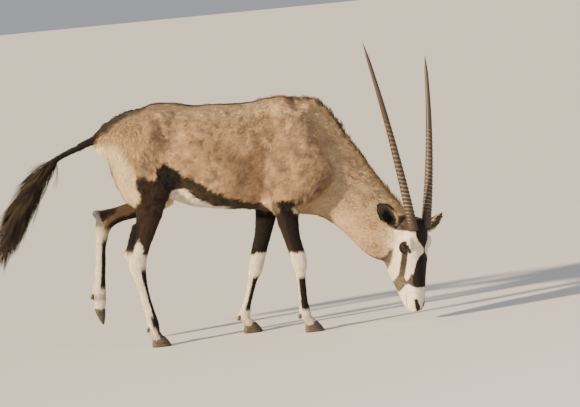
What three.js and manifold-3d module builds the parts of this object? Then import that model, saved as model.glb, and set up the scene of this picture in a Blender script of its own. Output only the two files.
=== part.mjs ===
import * as THREE from 'three';
import Module from 'manifold-3d';

// A walking gemsbok with its head lowered to the ground, life size.
// Millimetres, +X towards the head, +Y to the animal's left, +Z up.

const wasm = await Module();
wasm.setup();

const gap = 0.3;
const standingShift = [-55, 31, -10];
const soleLevel = 10;

const headOrigin = [1080, -165, 492];
const headDown = [-0.1, 0.11, -0.989];
const headFace = [0.668, -0.729, -0.149];
const eyeRadius = 19.5;
const eyeCentre = { down: 105, deep: 60, side: 66 };
const hornBase = { down: -14, deep: 28, side: 49 };
const hornRadius = 26;
const nearHornLength = 950;
const farHornLength = 835;
const earLength = 168;
const earWidth = 86;
const clawLength = 92;
const clawWidth = 27;
const clawHeight = 52;
const lidThickness = 3.4;
const mouthCorner = 342;
const mouthDeep = 68;
const mouthGap = 2.6;
const nostril = { down: 421, deep: 22, side: 27 };
const tuftLocks = 21;
const maneLocks = 12;
const maneHeight = 34;

const add = (a, b, s = 1) => [a[0] + b[0] * s, a[1] + b[1] * s, a[2] + b[2] * s];
const sub = (a, b) => [a[0] - b[0], a[1] - b[1], a[2] - b[2]];
const dot = (a, b) => a[0] * b[0] + a[1] * b[1] + a[2] * b[2];
const cross = (a, b) => [
  a[1] * b[2] - a[2] * b[1],
  a[2] * b[0] - a[0] * b[2],
  a[0] * b[1] - a[1] * b[0],
];
const size = (a) => Math.hypot(a[0], a[1], a[2]);
const unit = (a) => {
  const length = size(a) || 1;
  return [a[0] / length, a[1] / length, a[2] / length];
};
const mix = (a, b, t) => a + (b - a) * t;
const mixPoint = (a, b, t) => [mix(a[0], b[0], t), mix(a[1], b[1], t), mix(a[2], b[2], t)];
const clamp = (value, low, high) => Math.min(Math.max(value, low), high);

const headRight = unit(cross(headDown, headFace));

// A point of the head: how far down the face, how deep behind it, how far to the animal's right.
function headPoint(down, deep, side) {
  let point = add(headOrigin, headDown, down);
  point = add(point, headFace, -deep);
  return add(point, headRight, side);
}

// Round forms are distances, below zero inside.

function catmull(a, b, c, d, t) {
  const t2 = t * t;
  const t3 = t2 * t;
  return 0.5 * (2 * b + (c - a) * t + (2 * a - 5 * b + 4 * c - d) * t2
    + (3 * b - a - 3 * c + d) * t3);
}

function smoothStations(stations, steps) {
  const result = [];
  const last = stations.length - 1;
  for (let i = 0; i < last; i++) {
    const around = [i - 1, i, i + 1, i + 2].map((k) => stations[clamp(k, 0, last)]);
    for (let s = 0; s < steps; s++) {
      const t = s / steps;
      const value = (pick) => catmull(...around.map(pick), t);
      result.push({
        at: [value((q) => q.at[0]), value((q) => q.at[1]), value((q) => q.at[2])],
        wide: value((q) => q.wide),
        front: value((q) => q.front),
        back: value((q) => q.back),
      });
    }
  }
  result.push(stations[last]);
  return result;
}

// A long form along stations; front and back are its half depths towards and away from "facing".
function limb(stations, facing, endCap = 40, power = 2) {
  const line = smoothStations(stations, 3);
  const tangents = line.map((q, i) => {
    const before = line[Math.max(i - 1, 0)].at;
    const after = line[Math.min(i + 1, line.length - 1)].at;
    return unit(sub(after, before));
  });
  return (p) => {
    let best = Infinity;
    let index = 0;
    let along = 0;
    for (let i = 0; i < line.length - 1; i++) {
      const start = line[i].at;
      const step = sub(line[i + 1].at, start);
      const t = clamp(dot(sub(p, start), step) / dot(step, step), 0, 1);
      const away = size(sub(p, add(start, step, t)));
      if (away < best) {
        best = away;
        index = i;
        along = t;
      }
    }
    const a = line[index];
    const b = line[index + 1];
    const offset = sub(p, mixPoint(a.at, b.at, along));
    const tangent = unit(mixPoint(tangents[index], tangents[index + 1], along));
    const side = unit(cross(tangent, facing));
    const normal = cross(side, tangent);
    const u = dot(offset, side);
    const v = dot(offset, normal);
    const w = Math.max(0, Math.abs(dot(offset, tangent)) - 1e-6);
    const depth = v > 0 ? mix(a.front, b.front, along) : mix(a.back, b.back, along);
    const wide = mix(a.wide, b.wide, along);
    const ends = (index === 0 && along === 0) || (index === line.length - 2 && along === 1);
    const beyond = ends ? w / endCap : 0;
    const reach = Math.pow(Math.abs(u) / wide, power) + Math.pow(Math.abs(v) / depth, power);
    const q = Math.pow(reach + Math.pow(beyond, power), 1 / power);
    const r = Math.sqrt(u * u + v * v + (ends ? w * w : 0));
    return q < 1e-4 ? -Math.min(wide, depth) : r - r / q;
  };
}

// An ellipsoid with its own three directions.
function mound(centre, radii, axes = [[1, 0, 0], [0, 1, 0], [0, 0, 1]]) {
  return (p) => {
    const offset = sub(p, centre);
    let first = 0;
    let second = 0;
    for (let i = 0; i < 3; i++) {
      const d = dot(offset, axes[i]);
      first += (d / radii[i]) ** 2;
      second += (d / radii[i] ** 2) ** 2;
    }
    const k = Math.sqrt(first);
    return k < 1e-4 ? -Math.min(...radii) : k * (k - 1) / Math.sqrt(second);
  };
}

// A round rod that may taper.
function rod(from, to, startRadius, endRadius) {
  const step = sub(to, from);
  return (p) => {
    const t = clamp(dot(sub(p, from), step) / dot(step, step), 0, 1);
    return size(sub(p, add(from, step, t))) - mix(startRadius, endRadius, t);
  };
}

function blend(a, b, k) {
  const h = Math.max(k - Math.abs(a - b), 0) / k;
  return Math.min(a, b) - h * h * k * 0.25;
}

function carve(a, b, k) {
  return -blend(-a, b, k);
}

// Stations in the middle plane or beside it.
const station = (x, y, z, wide, front, back = front) => ({ at: [x, y, z], wide, front, back });

// Trunk: x, level of the greatest width, half width, back line and belly line.
const trunkRows = [
  [-462, 1054, 84, 1168, 990],
  [-430, 1050, 128, 1198, 915],
  [-380, 1036, 152, 1228, 835],
  [-320, 1012, 162, 1249, 775],
  [-250, 988, 168, 1250, 770],
  [-180, 965, 172, 1241, 782],
  [-110, 940, 182, 1225, 735],
  [-30, 915, 192, 1217, 697],
  [70, 895, 196, 1207, 672],
  [170, 890, 194, 1200, 661],
  [260, 890, 184, 1198, 646],
  [340, 895, 170, 1205, 625],
  [420, 905, 152, 1214, 606],
  [490, 915, 132, 1210, 604],
  [545, 925, 112, 1192, 640],
];
const trunk = limb(
  trunkRows.map(([x, z, wide, top, low]) => station(x, 0, z, wide, top - z, z - low)),
  [0, 0, 1],
  50,
  2.15,
);

const neckForm = limb([
  station(440, 0, 1030, 118, 216, 240),
  station(490, 0, 975, 120, 232, 240),
  station(540, 0, 925, 118, 218, 240),
  station(585, 0, 875, 112, 203, 232),
  station(630, -2, 828, 105, 187, 224),
  station(695, -9, 735, 93, 176, 203),
  station(758, -25, 657, 84, 164, 177),
  station(825, -42, 570, 76, 154, 160),
  station(885, -54, 496, 69, 150, 157),
  station(930, -58, 455, 60, 136, 148),
  station(968, -58, 425, 48, 98, 112),
], [0.75, 0, 0.66], 40, 1.9);

const tailForm = limb([
  station(-440, 0, 1105, 42, 46),
  station(-490, 0, 1098, 34, 34),
  station(-530, 0, 1080, 24, 25),
  station(-572, 0, 1068, 20, 21),
  station(-626, 0, 1045, 18, 18),
  station(-673, 0, 1029, 17, 17),
  station(-722, 0, 1008, 16, 16),
  station(-765, 0, 985, 15, 15),
], [0, 0, 1], 14);

// Shoulder, hip and rib forms that show under the coat; side -1 is the animal's right.
function trunkMasses(side) {
  const shoulderBlade = limb([
    station(432, side * 62, 1160, 34, 46),
    station(480, side * 96, 1030, 44, 80),
    station(520, side * 116, 900, 50, 96),
    station(556, side * 118, 785, 50, 84),
    station(560, side * 108, 735, 40, 56),
  ], [1, 0, 0.4], 40);
  const upperArm = limb([
    station(548, side * 116, 770, 46, 70),
    station(470, side * 122, 728, 50, 82),
    station(398, side * 118, 690, 46, 72),
  ], [0.4, 0, 1], 46);
  return [
    { form: shoulderBlade, soft: 60 },
    { form: upperArm, soft: 60 },
    { form: mound([430, side * 120, 820], [96, 46, 110]), soft: 70 },
    { form: mound([-190, side * 104, 1160], [58, 34, 36]), soft: 60 },
    { form: mound([-470, side * 62, 1062], [54, 34, 50]), soft: 60 },
  ];
}

function thigh(side, forward) {
  return limb([
    station(-330 + forward * 0.3, side * 92, 1090, 74, 128, 128),
    station(-318 + forward * 0.5, side * 104, 985, 86, 158, 150),
    station(-300 + forward * 0.8, side * 112, 880, 82, 142, 140),
    station(-288 + forward, side * 116, 800, 66, 118, 122),
  ], [1, 0, 0], 46, 2.1);
}

// Near foreleg: level, x, half depth, half width.
function foreleg(rows, inward) {
  return limb(
    rows.map(([z, x, deep, wide], i) => station(x, inward(i / (rows.length - 1)), z, wide, deep)),
    [1, 0, 0],
    24,
    2.1,
  );
}

const nearForeRows = [
  [700, 392, 84, 48],
  [640, 402, 64, 45],
  [585, 405, 56, 42],
  [532, 411, 49, 37],
  [479, 421, 43, 33],
  [430, 432, 41, 32],
  [392, 438, 43, 36],
  [352, 441, 39, 35],
  [316, 441, 30, 26],
  [280, 441, 25, 21],
  [225, 442, 23, 20],
  [170, 442, 24, 21],
  [135, 443, 28, 25],
  [104, 446, 31, 30],
  [80, 455, 27, 27],
  [58, 468, 29, 29],
];
const farForeRows = [
  [700, 330, 84, 48],
  [640, 300, 60, 45],
  [590, 292, 54, 42],
  [515, 272, 47, 37],
  [455, 252, 42, 33],
  [405, 236, 40, 32],
  [368, 224, 41, 36],
  [330, 212, 38, 35],
  [294, 198, 29, 26],
  [260, 187, 24, 21],
  [212, 172, 22, 20],
  [164, 155, 23, 21],
  [130, 143, 28, 25],
  [99, 134, 32, 30],
  [78, 141, 27, 27],
  [58, 155, 29, 29],
];

const nearHindRows = [
  [800, -285, 112, 60],
  [738, -286, 84, 52],
  [690, -292, 70, 47],
  [650, -303, 60, 43],
  [604, -315, 50, 37],
  [556, -333, 45, 32],
  [514, -350, 44, 30],
  [474, -368, 47, 33],
  [436, -376, 48, 34],
  [398, -374, 41, 30],
  [347, -367, 33, 25],
  [293, -358, 28, 22],
  [240, -349, 27, 21],
  [185, -338, 28, 23],
  [145, -331, 31, 26],
  [118, -327, 31, 29],
  [84, -322, 27, 27],
  [58, -312, 29, 29],
];

const farShank = limb([
  station(-212, 112, 770, 56, 74),
  station(-262, 114, 742, 52, 74),
  station(-330, 114, 712, 46, 58),
  station(-402, 112, 690, 39, 43),
  station(-455, 110, 673, 34, 36),
  station(-502, 108, 652, 32, 36),
  station(-534, 107, 628, 33, 38),
], [0.3, 0, 1], 34, 2.1);
const farCannonRows = [
  [650, -540, 34, 31],
  [612, -546, 39, 34],
  [575, -552, 38, 33],
  [540, -560, 33, 28],
  [500, -565, 30, 24],
  [449, -571, 29, 23],
  [397, -578, 29, 23],
  [345, -585, 31, 25],
  [309, -592, 36, 28],
  [280, -596, 38, 30],
  [250, -594, 34, 29],
  [222, -600, 33, 29],
];

const near = -1;
const far = 1;
const foreStance = (side) => (t) => side * mix(112, 92, t);
const hindStance = (side) => (t) => side * mix(118, 98, t);

const bodyMasses = [
  { form: trunk, soft: 1 },
  ...trunkMasses(near),
  ...trunkMasses(far),
  { form: thigh(near, 0), soft: 70 },
  { form: thigh(far, 34), soft: 70 },
  { form: neckForm, soft: 70 },
  { form: mound([528, 0, 1138], [88, 62, 60]), soft: 40 },
  { form: tailForm, soft: 34 },
  { form: foreleg(nearForeRows, foreStance(near)), soft: 46 },
  { form: foreleg(farForeRows, foreStance(far)), soft: 46 },
  { form: foreleg(nearHindRows, hindStance(near)), soft: 46 },
  { form: farShank, soft: 50 },
  { form: foreleg(farCannonRows, (t) => mix(107, 98, t)), soft: 16 },
  { form: rod([-378, -108, 470], [-421, -110, 492], 24, 17), soft: 22 },
  { form: rod([-421, -110, 492], [-370, -114, 632], 17, 17), soft: 26 },
  { form: rod([-536, 107, 648], [-566, 108, 694], 24, 17), soft: 22 },
  { form: rod([-566, 108, 694], [-425, 111, 706], 17, 17), soft: 26 },
  { form: rod([362, -108, 672], [338, -110, 694], 30, 24), soft: 34 },
  { form: rod([296, 104, 640], [280, 108, 664], 30, 24), soft: 34 },
];
const bodyHollows = [
  { form: mound([-128, -190, 1094], [58, 44, 88]), soft: 60 },
  { form: mound([-128, 190, 1094], [58, 44, 88]), soft: 60 },
  { form: mound([262, -212, 800], [64, 44, 120]), soft: 50 },
  { form: mound([262, 212, 800], [64, 44, 120]), soft: 50 },
  { form: mound([-215, -212, 930], [60, 40, 70]), soft: 60 },
  { form: mound([-200, 212, 930], [60, 40, 70]), soft: 60 },
];

function body(p) {
  let d = Infinity;
  for (const { form, soft } of bodyMasses) d = d === Infinity ? form(p) : blend(d, form(p), soft);
  for (const { form, soft } of bodyHollows) d = carve(d, form(p), soft);
  return d;
}

// Head: down the face, half width, depth of the face line and of the jaw line.
const headRows = [
  [-22, 52, 24, 136],
  [0, 62, 6, 156],
  [30, 72, -1, 172],
  [70, 75, -4, 192],
  [110, 75, -4, 214],
  [150, 74, -4, 234],
  [190, 71, -5, 239],
  [232, 66, -6, 224],
  [280, 58, -6, 195],
  [310, 53, -6, 174],
  [340, 50, -5, 154],
  [375, 47, -2, 132],
  [405, 43, 4, 113],
  [430, 34, 12, 97],
];
const skull = limb(
  headRows.map(([down, wide, face, jaw]) => {
    const deep = (face + jaw) / 2;
    return { at: headPoint(down, deep, 0), wide, front: (jaw - face) / 2, back: (jaw - face) / 2 };
  }),
  headFace,
  16,
  2.7,
);
const headAxes = [headDown, headFace, headRight];

function headMasses(side) {
  const cheekBone = rod(headPoint(108, 84, side * 64), headPoint(240, 84, side * 50), 15, 10);
  return [
    { form: mound(headPoint(86, 30, side * 66), [34, 19, 19], headAxes), soft: 18 },
    { form: mound(headPoint(118, 84, side * 62), [30, 20, 17], headAxes), soft: 16 },
    { form: mound(headPoint(150, 132, side * 50), [70, 54, 24], headAxes), soft: 26 },
    { form: cheekBone, soft: 22 },
    { form: mound(headPoint(392, 50, side * 24), [42, 30, 20], headAxes), soft: 16 },
    { form: mound(headPoint(-6, 34, side * 46), [28, 28, 27], headAxes), soft: 18 },
    { form: mound(headPoint(16, 92, side * 68), [24, 24, 18], headAxes), soft: 20 },
    { form: mound(headPoint(160, 210, side * 46), [50, 42, 28], headAxes), soft: 30 },
  ];
}
const headForms = [
  { form: skull, soft: 1 },
  ...headMasses(-1),
  ...headMasses(1),
  { form: rod(headPoint(110, 20, 0), headPoint(408, 24, 0), 20, 19), soft: 16 },
  { form: mound(headPoint(400, 88, 0), [36, 16, 27], headAxes), soft: 12 },
];

function wholeAnimal(p) {
  let d = body(p);
  let h = Infinity;
  for (const { form, soft } of headForms) h = h === Infinity ? form(p) : blend(h, form(p), soft);
  return blend(d, h, 46);
}

// The surface where a form is zero, as a closed net of triangles inside a box.
function netOf(form, low, high, cell) {
  const count = [0, 1, 2].map((k) => Math.ceil((high[k] - low[k]) / cell) + 1);
  const [nx, ny, nz] = count;
  const at = (i, j, k) => i + nx * (j + ny * k);
  const values = new Float64Array(nx * ny * nz);
  for (let k = 0; k < nz; k++) {
    for (let j = 0; j < ny; j++) {
      for (let i = 0; i < nx; i++) {
        const edge = i === 0 || j === 0 || k === 0 || i === nx - 1 || j === ny - 1 || k === nz - 1;
        const p = [low[0] + i * cell, low[1] + j * cell, low[2] + k * cell];
        values[at(i, j, k)] = edge ? cell : form(p);
      }
    }
  }
  settleCrossings(values, count, cell);
  const corners = [0, 1, 2, 3, 4, 5, 6, 7].map((c) => [c & 1, (c >> 1) & 1, (c >> 2) & 1]);
  const edges = [];
  for (let a = 0; a < 8; a++) {
    for (const bit of [1, 2, 4]) {
      if (!(a & bit)) edges.push([a, a | bit]);
    }
  }
  const vertexAt = new Int32Array(values.length).fill(-1);
  const points = [];
  for (let k = 0; k < nz - 1; k++) {
    for (let j = 0; j < ny - 1; j++) {
      for (let i = 0; i < nx - 1; i++) {
        const d = corners.map(([x, y, z]) => values[at(i + x, j + y, k + z)]);
        let sum = [0, 0, 0];
        let hits = 0;
        for (const [a, b] of edges) {
          if (d[a] < 0 !== d[b] < 0) {
            sum = add(sum, mixPoint(corners[a], corners[b], d[a] / (d[a] - d[b])));
            hits += 1;
          }
        }
        if (!hits) continue;
        vertexAt[at(i, j, k)] = points.length;
        points.push(add(low, add([i, j, k], sum, 1 / hits), cell));
      }
    }
  }
  const triangles = [];
  const steps = [[1, 0, 0], [0, 1, 0], [0, 0, 1]];
  for (let k = 0; k < nz - 1; k++) {
    for (let j = 0; j < ny - 1; j++) {
      for (let i = 0; i < nx - 1; i++) {
        const here = values[at(i, j, k)] < 0;
        for (let axis = 0; axis < 3; axis++) {
          const [x, y, z] = steps[axis];
          if ((!x && !i) || (!y && !j) || (!z && !k)) continue;
          const there = values[at(i + x, j + y, k + z)] < 0;
          if (here === there) continue;
          const u = steps[(axis + 1) % 3];
          const v = steps[(axis + 2) % 3];
          const quad = [[0, 0], [1, 0], [1, 1], [0, 1]].map(([s, t]) => (
            vertexAt[at(i - s * u[0] - t * v[0], j - s * u[1] - t * v[1], k - s * u[2] - t * v[2])]
          ));
          if (!here) quad.reverse();
          triangles.push(quad[0], quad[1], quad[2], quad[0], quad[2], quad[3]);
        }
      }
    }
  }
  return { points: points.map((p) => settle(form, p, cell)), triangles };
}

// Where only the diagonal corners of a cell face agree, the weaker outer corner is filled in,
// so that no two sheets of the net share an edge.
function settleCrossings(values, [nx, ny, nz], cell) {
  const strides = [1, nx, nx * ny];
  const pairs = [[0, 1], [1, 2], [2, 0]].map(([a, b]) => [strides[a], strides[b]]);
  for (let changed = true; changed;) {
    changed = false;
    for (let k = 0; k < nz - 1; k++) {
      for (let j = 0; j < ny - 1; j++) {
        for (let i = 0; i < nx - 1; i++) {
          const here = i + nx * (j + ny * k);
          for (const [u, v] of pairs) {
            const spots = [here, here + u + v, here + u, here + v];
            const [a, b, c, d] = spots.map((spot) => values[spot] < 0);
            if (a !== b || c !== d || a === c) continue;
            const outer = a ? [spots[2], spots[3]] : [spots[0], spots[1]];
            values[values[outer[0]] < values[outer[1]] ? outer[0] : outer[1]] = -cell * 0.05;
            changed = true;
          }
        }
      }
    }
  }
}

// Moves a point of the net onto the surface itself.
function settle(form, point, cell) {
  const h = cell * 0.05;
  let p = point;
  for (let pass = 0; pass < 2; pass++) {
    const d = form(p);
    const slope = [[h, 0, 0], [0, h, 0], [0, 0, h]].map((step) => (
      (form(add(p, step)) - form(sub(p, step))) / (2 * h)
    ));
    const steep = Math.max(dot(slope, slope), 0.25);
    p = add(p, slope, -clamp(d / steep, -cell * 0.3, cell * 0.3));
  }
  return p;
}

function solidOf({ points, triangles }) {
  const vertProperties = new Float32Array(points.flat());
  const triVerts = new Uint32Array(triangles);
  return new wasm.Manifold(new wasm.Mesh({ numProp: 3, vertProperties, triVerts }));
}

function largestOf(solid) {
  const pieces = solid.decompose();
  pieces.sort((a, b) => b.volume() - a.volume());
  return pieces[0];
}

// Keeps the side of a plane that its normal points to, starting "inset" beyond the point.
function keepBeyond(solid, point, normal, inset = 0) {
  const direction = unit(normal);
  return solid.trimByPlane(direction, dot(point, direction) + inset);
}

// A closed form through rings of equally many points, with flat ends.
// Triangles that close an end: a fan, or for a rolled leaf a strip between its two arcs.
function endCap(n, rolled) {
  const cap = [];
  if (!rolled) {
    for (let i = 1; i < n - 1; i++) cap.push([0, i, i + 1]);
    return cap;
  }
  for (let i = 0; i < n / 2 - 1; i++) {
    cap.push([i, i + 1, n - 2 - i]);
    cap.push([i, n - 2 - i, n - 1 - i]);
  }
  return cap;
}

function loft(rings, rolled = false) {
  const points = rings.flat();
  const n = rings[0].length;
  const triangles = [];
  for (let r = 0; r < rings.length - 1; r++) {
    for (let i = 0; i < n; i++) {
      const a = r * n + i;
      const b = r * n + ((i + 1) % n);
      triangles.push(a, b, b + n, a, b + n, a + n);
    }
  }
  const last = (rings.length - 1) * n;
  for (const [a, b, c] of endCap(n, rolled)) {
    triangles.push(a, c, b);
    triangles.push(last + a, last + b, last + c);
  }
  let volume = 0;
  for (let i = 0; i < triangles.length; i += 3) {
    const [a, b, c] = [0, 1, 2].map((k) => sub(points[triangles[i + k]], points[0]));
    volume += dot(a, cross(b, c));
  }
  if (volume < 0) triangles.reverse();
  return solidOf({ points, triangles });
}

function ringAround(centre, u, v, wide, deep, sides, turn = 0) {
  const ring = [];
  for (let i = 0; i < sides; i++) {
    const angle = turn + (i / sides) * Math.PI * 2;
    ring.push(add(add(centre, u, Math.cos(angle) * wide), v, Math.sin(angle) * deep));
  }
  return ring;
}

function ball(centre, radius, columns = 14, rows = 8) {
  const geometry = new THREE.SphereGeometry(radius, columns, rows);
  const place = geometry.getAttribute('position');
  const points = [];
  const seen = new Map();
  const lookup = [];
  for (let i = 0; i < place.count; i++) {
    const p = [place.getX(i), place.getY(i), place.getZ(i)];
    const key = p.map((value) => Math.round(value * 1e4)).join();
    if (!seen.has(key)) {
      seen.set(key, points.length);
      points.push(add(centre, p));
    }
    lookup.push(seen.get(key));
  }
  const triangles = [];
  const index = geometry.getIndex();
  for (let i = 0; i < index.count; i += 3) {
    const t = [0, 1, 2].map((k) => lookup[index.getX(i + k)]);
    if (t[0] !== t[1] && t[1] !== t[2] && t[2] !== t[0]) triangles.push(...t);
  }
  return solidOf({ points, triangles });
}

// A flat tapered lock along a line of points; its flat side faces "outward".
function lock(line, wide, thick, outward) {
  const last = line.length - 1;
  const rings = line.map((at, i) => {
    const along = unit(sub(line[Math.min(i + 1, last)], line[Math.max(i - 1, 0)]));
    const across = unit(cross(along, outward));
    const taper = Math.sin(mix(0.3, 1, 1 - (i / last) ** 1.6) * Math.PI * 0.5) - 0.28 * (i / last);
    const flat = Math.max(thick * taper, 0.4);
    return ringAround(at, across, cross(across, along), Math.max(wide * taper, 0.8), flat, 4);
  });
  return loft(rings);
}

// Repeatable random numbers from 0 to 1.
let drawn = 7;
function draw() {
  drawn = (drawn * 16807) % 2147483647;
  return drawn / 2147483647;
}

// A prism whose outline is given on the head: down the face and to the side, between two depths.
function headPrism(outline, from, to) {
  return loft([from, to].map((deep) => outline.map(([down, side]) => headPoint(down, deep, side))));
}

// Horn: a long taper with a slight backward bow and rings on its lower part.
function horn(side, length, grow = 0) {
  const back = 0.21;
  const spread = 0.2;
  const bow = 0.026;
  const rings = [];
  const ridgeCount = 24;
  const ridgedPart = 0.6;
  const aim = unit(add(add([0, 0, 0], headDown, -1), headFace, -back));
  const start = headPoint(hornBase.down, hornBase.deep, side * hornBase.side);
  const sunk = -26;
  const stops = [];
  stops.push({ s: sunk - grow, ridge: 0 });
  for (let i = 0; i < ridgeCount; i++) {
    const from = mix(16, length * ridgedPart, (i / ridgeCount) ** 1.12);
    const next = mix(16, length * ridgedPart, ((i + 1) / ridgeCount) ** 1.12);
    const height = mix(2.2, 0.7, i / ridgeCount);
    stops.push({ s: from, ridge: -height * 0.35 });
    stops.push({ s: mix(from, next, 0.55), ridge: height * 0.65 });
  }
  for (const t of [0.62, 0.7, 0.78, 0.86, 0.93, 0.975, 1]) stops.push({ s: length * t, ridge: 0 });
  for (const { s, ridge } of stops) {
    const t = clamp(s / length, 0, 1);
    const radius = mix(hornRadius, 7.5, t ** 1.15) * (t > 0.9 ? mix(1, 0.16, (t - 0.9) / 0.1) : 1);
    let centre = add(start, aim, s);
    centre = add(centre, headRight, side * spread * s * mix(1, 0.9, t));
    centre = add(centre, headFace, 4 * bow * length * t * (1 - t));
    rings.push(ringAround(centre, headRight, headFace, radius * 0.93 + ridge + grow,
      radius + ridge + grow, 7));
  }
  return loft(rings);
}

// Ear: a leaf rolled into a cup, narrow at its root, open towards "open".
const earRows = [
  { t: -0.1, half: 0.3, curl: 2.5, thick: 7 },
  { t: 0.04, half: 0.34, curl: 2.35, thick: 6.5 },
  { t: 0.16, half: 0.52, curl: 1.95, thick: 5 },
  { t: 0.32, half: 0.78, curl: 1.6, thick: 4 },
  { t: 0.5, half: 0.96, curl: 1.35, thick: 3.4 },
  { t: 0.66, half: 1, curl: 1.2, thick: 3 },
  { t: 0.8, half: 0.84, curl: 1.1, thick: 2.8 },
  { t: 0.91, half: 0.56, curl: 1, thick: 2.6 },
  { t: 0.98, half: 0.24, curl: 0.9, thick: 2.4 },
];

function earFrame({ root, tip, open }) {
  const up = unit(sub(tip, root));
  const across = unit(cross(up, open));
  const front = unit(cross(across, up));
  const length = size(sub(tip, root));
  const at = (t, radius) => add(add(root, up, t * length), front, radius * 0.9 - 14);
  return { across, front, at };
}
const earRowRadius = ({ half, curl }) => (half * earWidth * 0.5) / Math.sin(Math.min(curl, Math.PI / 2));

function ear(place) {
  const { across, front, at } = earFrame(place);
  const points = 7;
  const rings = earRows.map((row) => {
    const radius = earRowRadius(row);
    const centre = at(row.t, radius);
    const arc = (turn, reach) => (
      add(add(centre, across, Math.sin(turn) * reach), front, -Math.cos(turn) * reach)
    );
    const ring = [];
    for (let i = 0; i < points; i++) {
      ring.push(arc(mix(-row.curl, row.curl, i / (points - 1)), radius));
    }
    for (let i = points - 1; i >= 0; i--) {
      ring.push(arc(mix(-row.curl, row.curl, i / (points - 1)) * 0.97, radius - row.thick));
    }
    return ring;
  });
  return loft(rings, true);
}

// The round seat that the root of an ear stands in.
function earSeat(place, rows) {
  const { across, front, at } = earFrame(place);
  const rings = [];
  for (const row of earRows.slice(0, rows)) {
    const radius = earRowRadius(row);
    const t = row.t < 0 ? row.t - 0.01 : row.t;
    rings.push(ringAround(at(t, radius), across, front, radius * 1.06 + 1, radius * 1.06 + 1, 14));
  }
  return loft(rings);
}

// One half of a hoof: a flat sole, a pointed toe and a sloping front wall.
function claw(ankle, forward, side, lift = 0) {
  const ahead = unit(forward);
  const up = [0, 0, 1];
  const across = unit(cross(up, ahead));
  const outline = [
    [-0.42, 0.1], [-0.46, 0.55], [-0.34, 0.92], [-0.06, 1], [0.24, 0.9],
    [0.46, 0.56], [0.58, 0.18], [0.56, 0.03], [0.3, 0.04], [0, 0.04],
  ];
  const levels = [
    { z: 0, long: 0.98, wide: 0.98, back: 0 },
    { z: 0.08, long: 1, wide: 1, back: 0 },
    { z: 0.55, long: 0.84, wide: 0.93, back: 0.06 },
    { z: 1, long: 0.62, wide: 0.8, back: 0.13 },
  ];
  const rings = levels.map(({ z, long, wide, back }) => outline.map(([x, y]) => {
    let p = add([ankle[0], ankle[1], soleLevel + lift], ahead, (x * long - back) * clawLength + 14);
    p = add(p, across, side * (y * wide * clawWidth + 1.2));
    const slope = z * clawHeight * (x > 0 ? 1 : mix(1, 0.72, clamp(-x * 2, 0, 1)));
    return add(p, up, slope);
  }));
  return loft(rings);
}

const material = (name, color, roughness) => {
  const made = new THREE.MeshStandardMaterial({ color, roughness, metalness: 0 });
  made.name = name;
  return made;
};
const tanCoat = material('tan_coat', 0xb99870, 0.92);
const whiteCoat = material('white_coat', 0xe4dccb, 0.92);
const darkCoat = material('dark_coat', 0x2b221c, 0.92);
const hornSheath = material('horn_sheath', 0x3a332b, 0.55);
const hoofHorn = material('hoof_horn', 0x3b342e, 0.6);
const eyeGlass = material('eye_dark', 0x140d09, 0.08);

const gemsbok = new THREE.Group();
gemsbok.name = 'gemsbok';

function show(name, solid, look) {
  const shifted = solid.translate(standingShift);
  const mesh = shifted.getMesh();
  const geometry = new THREE.BufferGeometry();
  geometry.setAttribute('position', new THREE.BufferAttribute(
    new Float32Array(mesh.vertProperties), 3));
  geometry.setIndex(new THREE.BufferAttribute(new Uint32Array(mesh.triVerts), 1));
  geometry.computeVertexNormals();
  const shown = new THREE.Mesh(geometry, look);
  shown.name = name;
  gemsbok.add(shown);
}

// Planes where the one body is parted.
const headCut = { point: headPoint(-15, 80, 0), normal: add(headDown, headFace) };
const neckCut = { point: [618, 0, 850], normal: [0.6, -0.04, -0.8] };
const chestCut = { point: [532, 0, 780], normal: [1, 0, 0] };
const foreCutLevel = 572;
const hindCutLevel = 742;
const farShankCut = { point: [-292, 110, 725], normal: [-0.95, 0, -0.3] };
const farShankTop = { point: [-402, 110, 768], normal: [0.2, 0, -0.98] };
const farSide = { point: [0, 0, 0], normal: [0, 1, 0] };
const tailCut = { point: [-520, 0, 1085], normal: [-0.95, 0, -0.3] };
const tailFloor = { point: [-530, 0, 1046], normal: [-0.37, 0, 0.93] };
const tuftCut = { point: [-742, 0, 998], normal: [-0.9, 0, -0.43] };
const opposite = (v) => [-v[0], -v[1], -v[2]];

function clip(solid, cuts) {
  let result = solid;
  for (const { point, normal } of cuts) result = keepBeyond(result, point, normal, gap / 2);
  return largestOf(result);
}
const before = ({ point, normal }) => ({ point, normal: opposite(normal) });
const below = (level) => ({ point: [0, 0, level], normal: [0, 0, -1] });
const above = (level) => ({ point: [0, 0, level], normal: [0, 0, 1] });

function bodyNet(low, high, cell) {
  return solidOf(netOf(wholeAnimal, low, high, cell));
}

// Trunk with everything that hangs on it, then each part in a finer net of its own.
const trunkNet = bodyNet([-640, -260, 500], [760, 260, 1300], 49);
let torsoSolid = trunkNet;

function slab(low, high) {
  const points = [];
  for (const z of [low[2], high[2]]) {
    points.push([low[0], low[1], z], [high[0], low[1], z], [high[0], high[1], z], [low[0], high[1], z]);
  }
  const triangles = [0, 2, 1, 0, 3, 2, 4, 5, 6, 4, 6, 7];
  for (let i = 0; i < 4; i++) {
    const j = (i + 1) % 4;
    triangles.push(i, j, j + 4, i, j + 4, i + 4);
  }
  return solidOf({ points, triangles });
}

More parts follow.
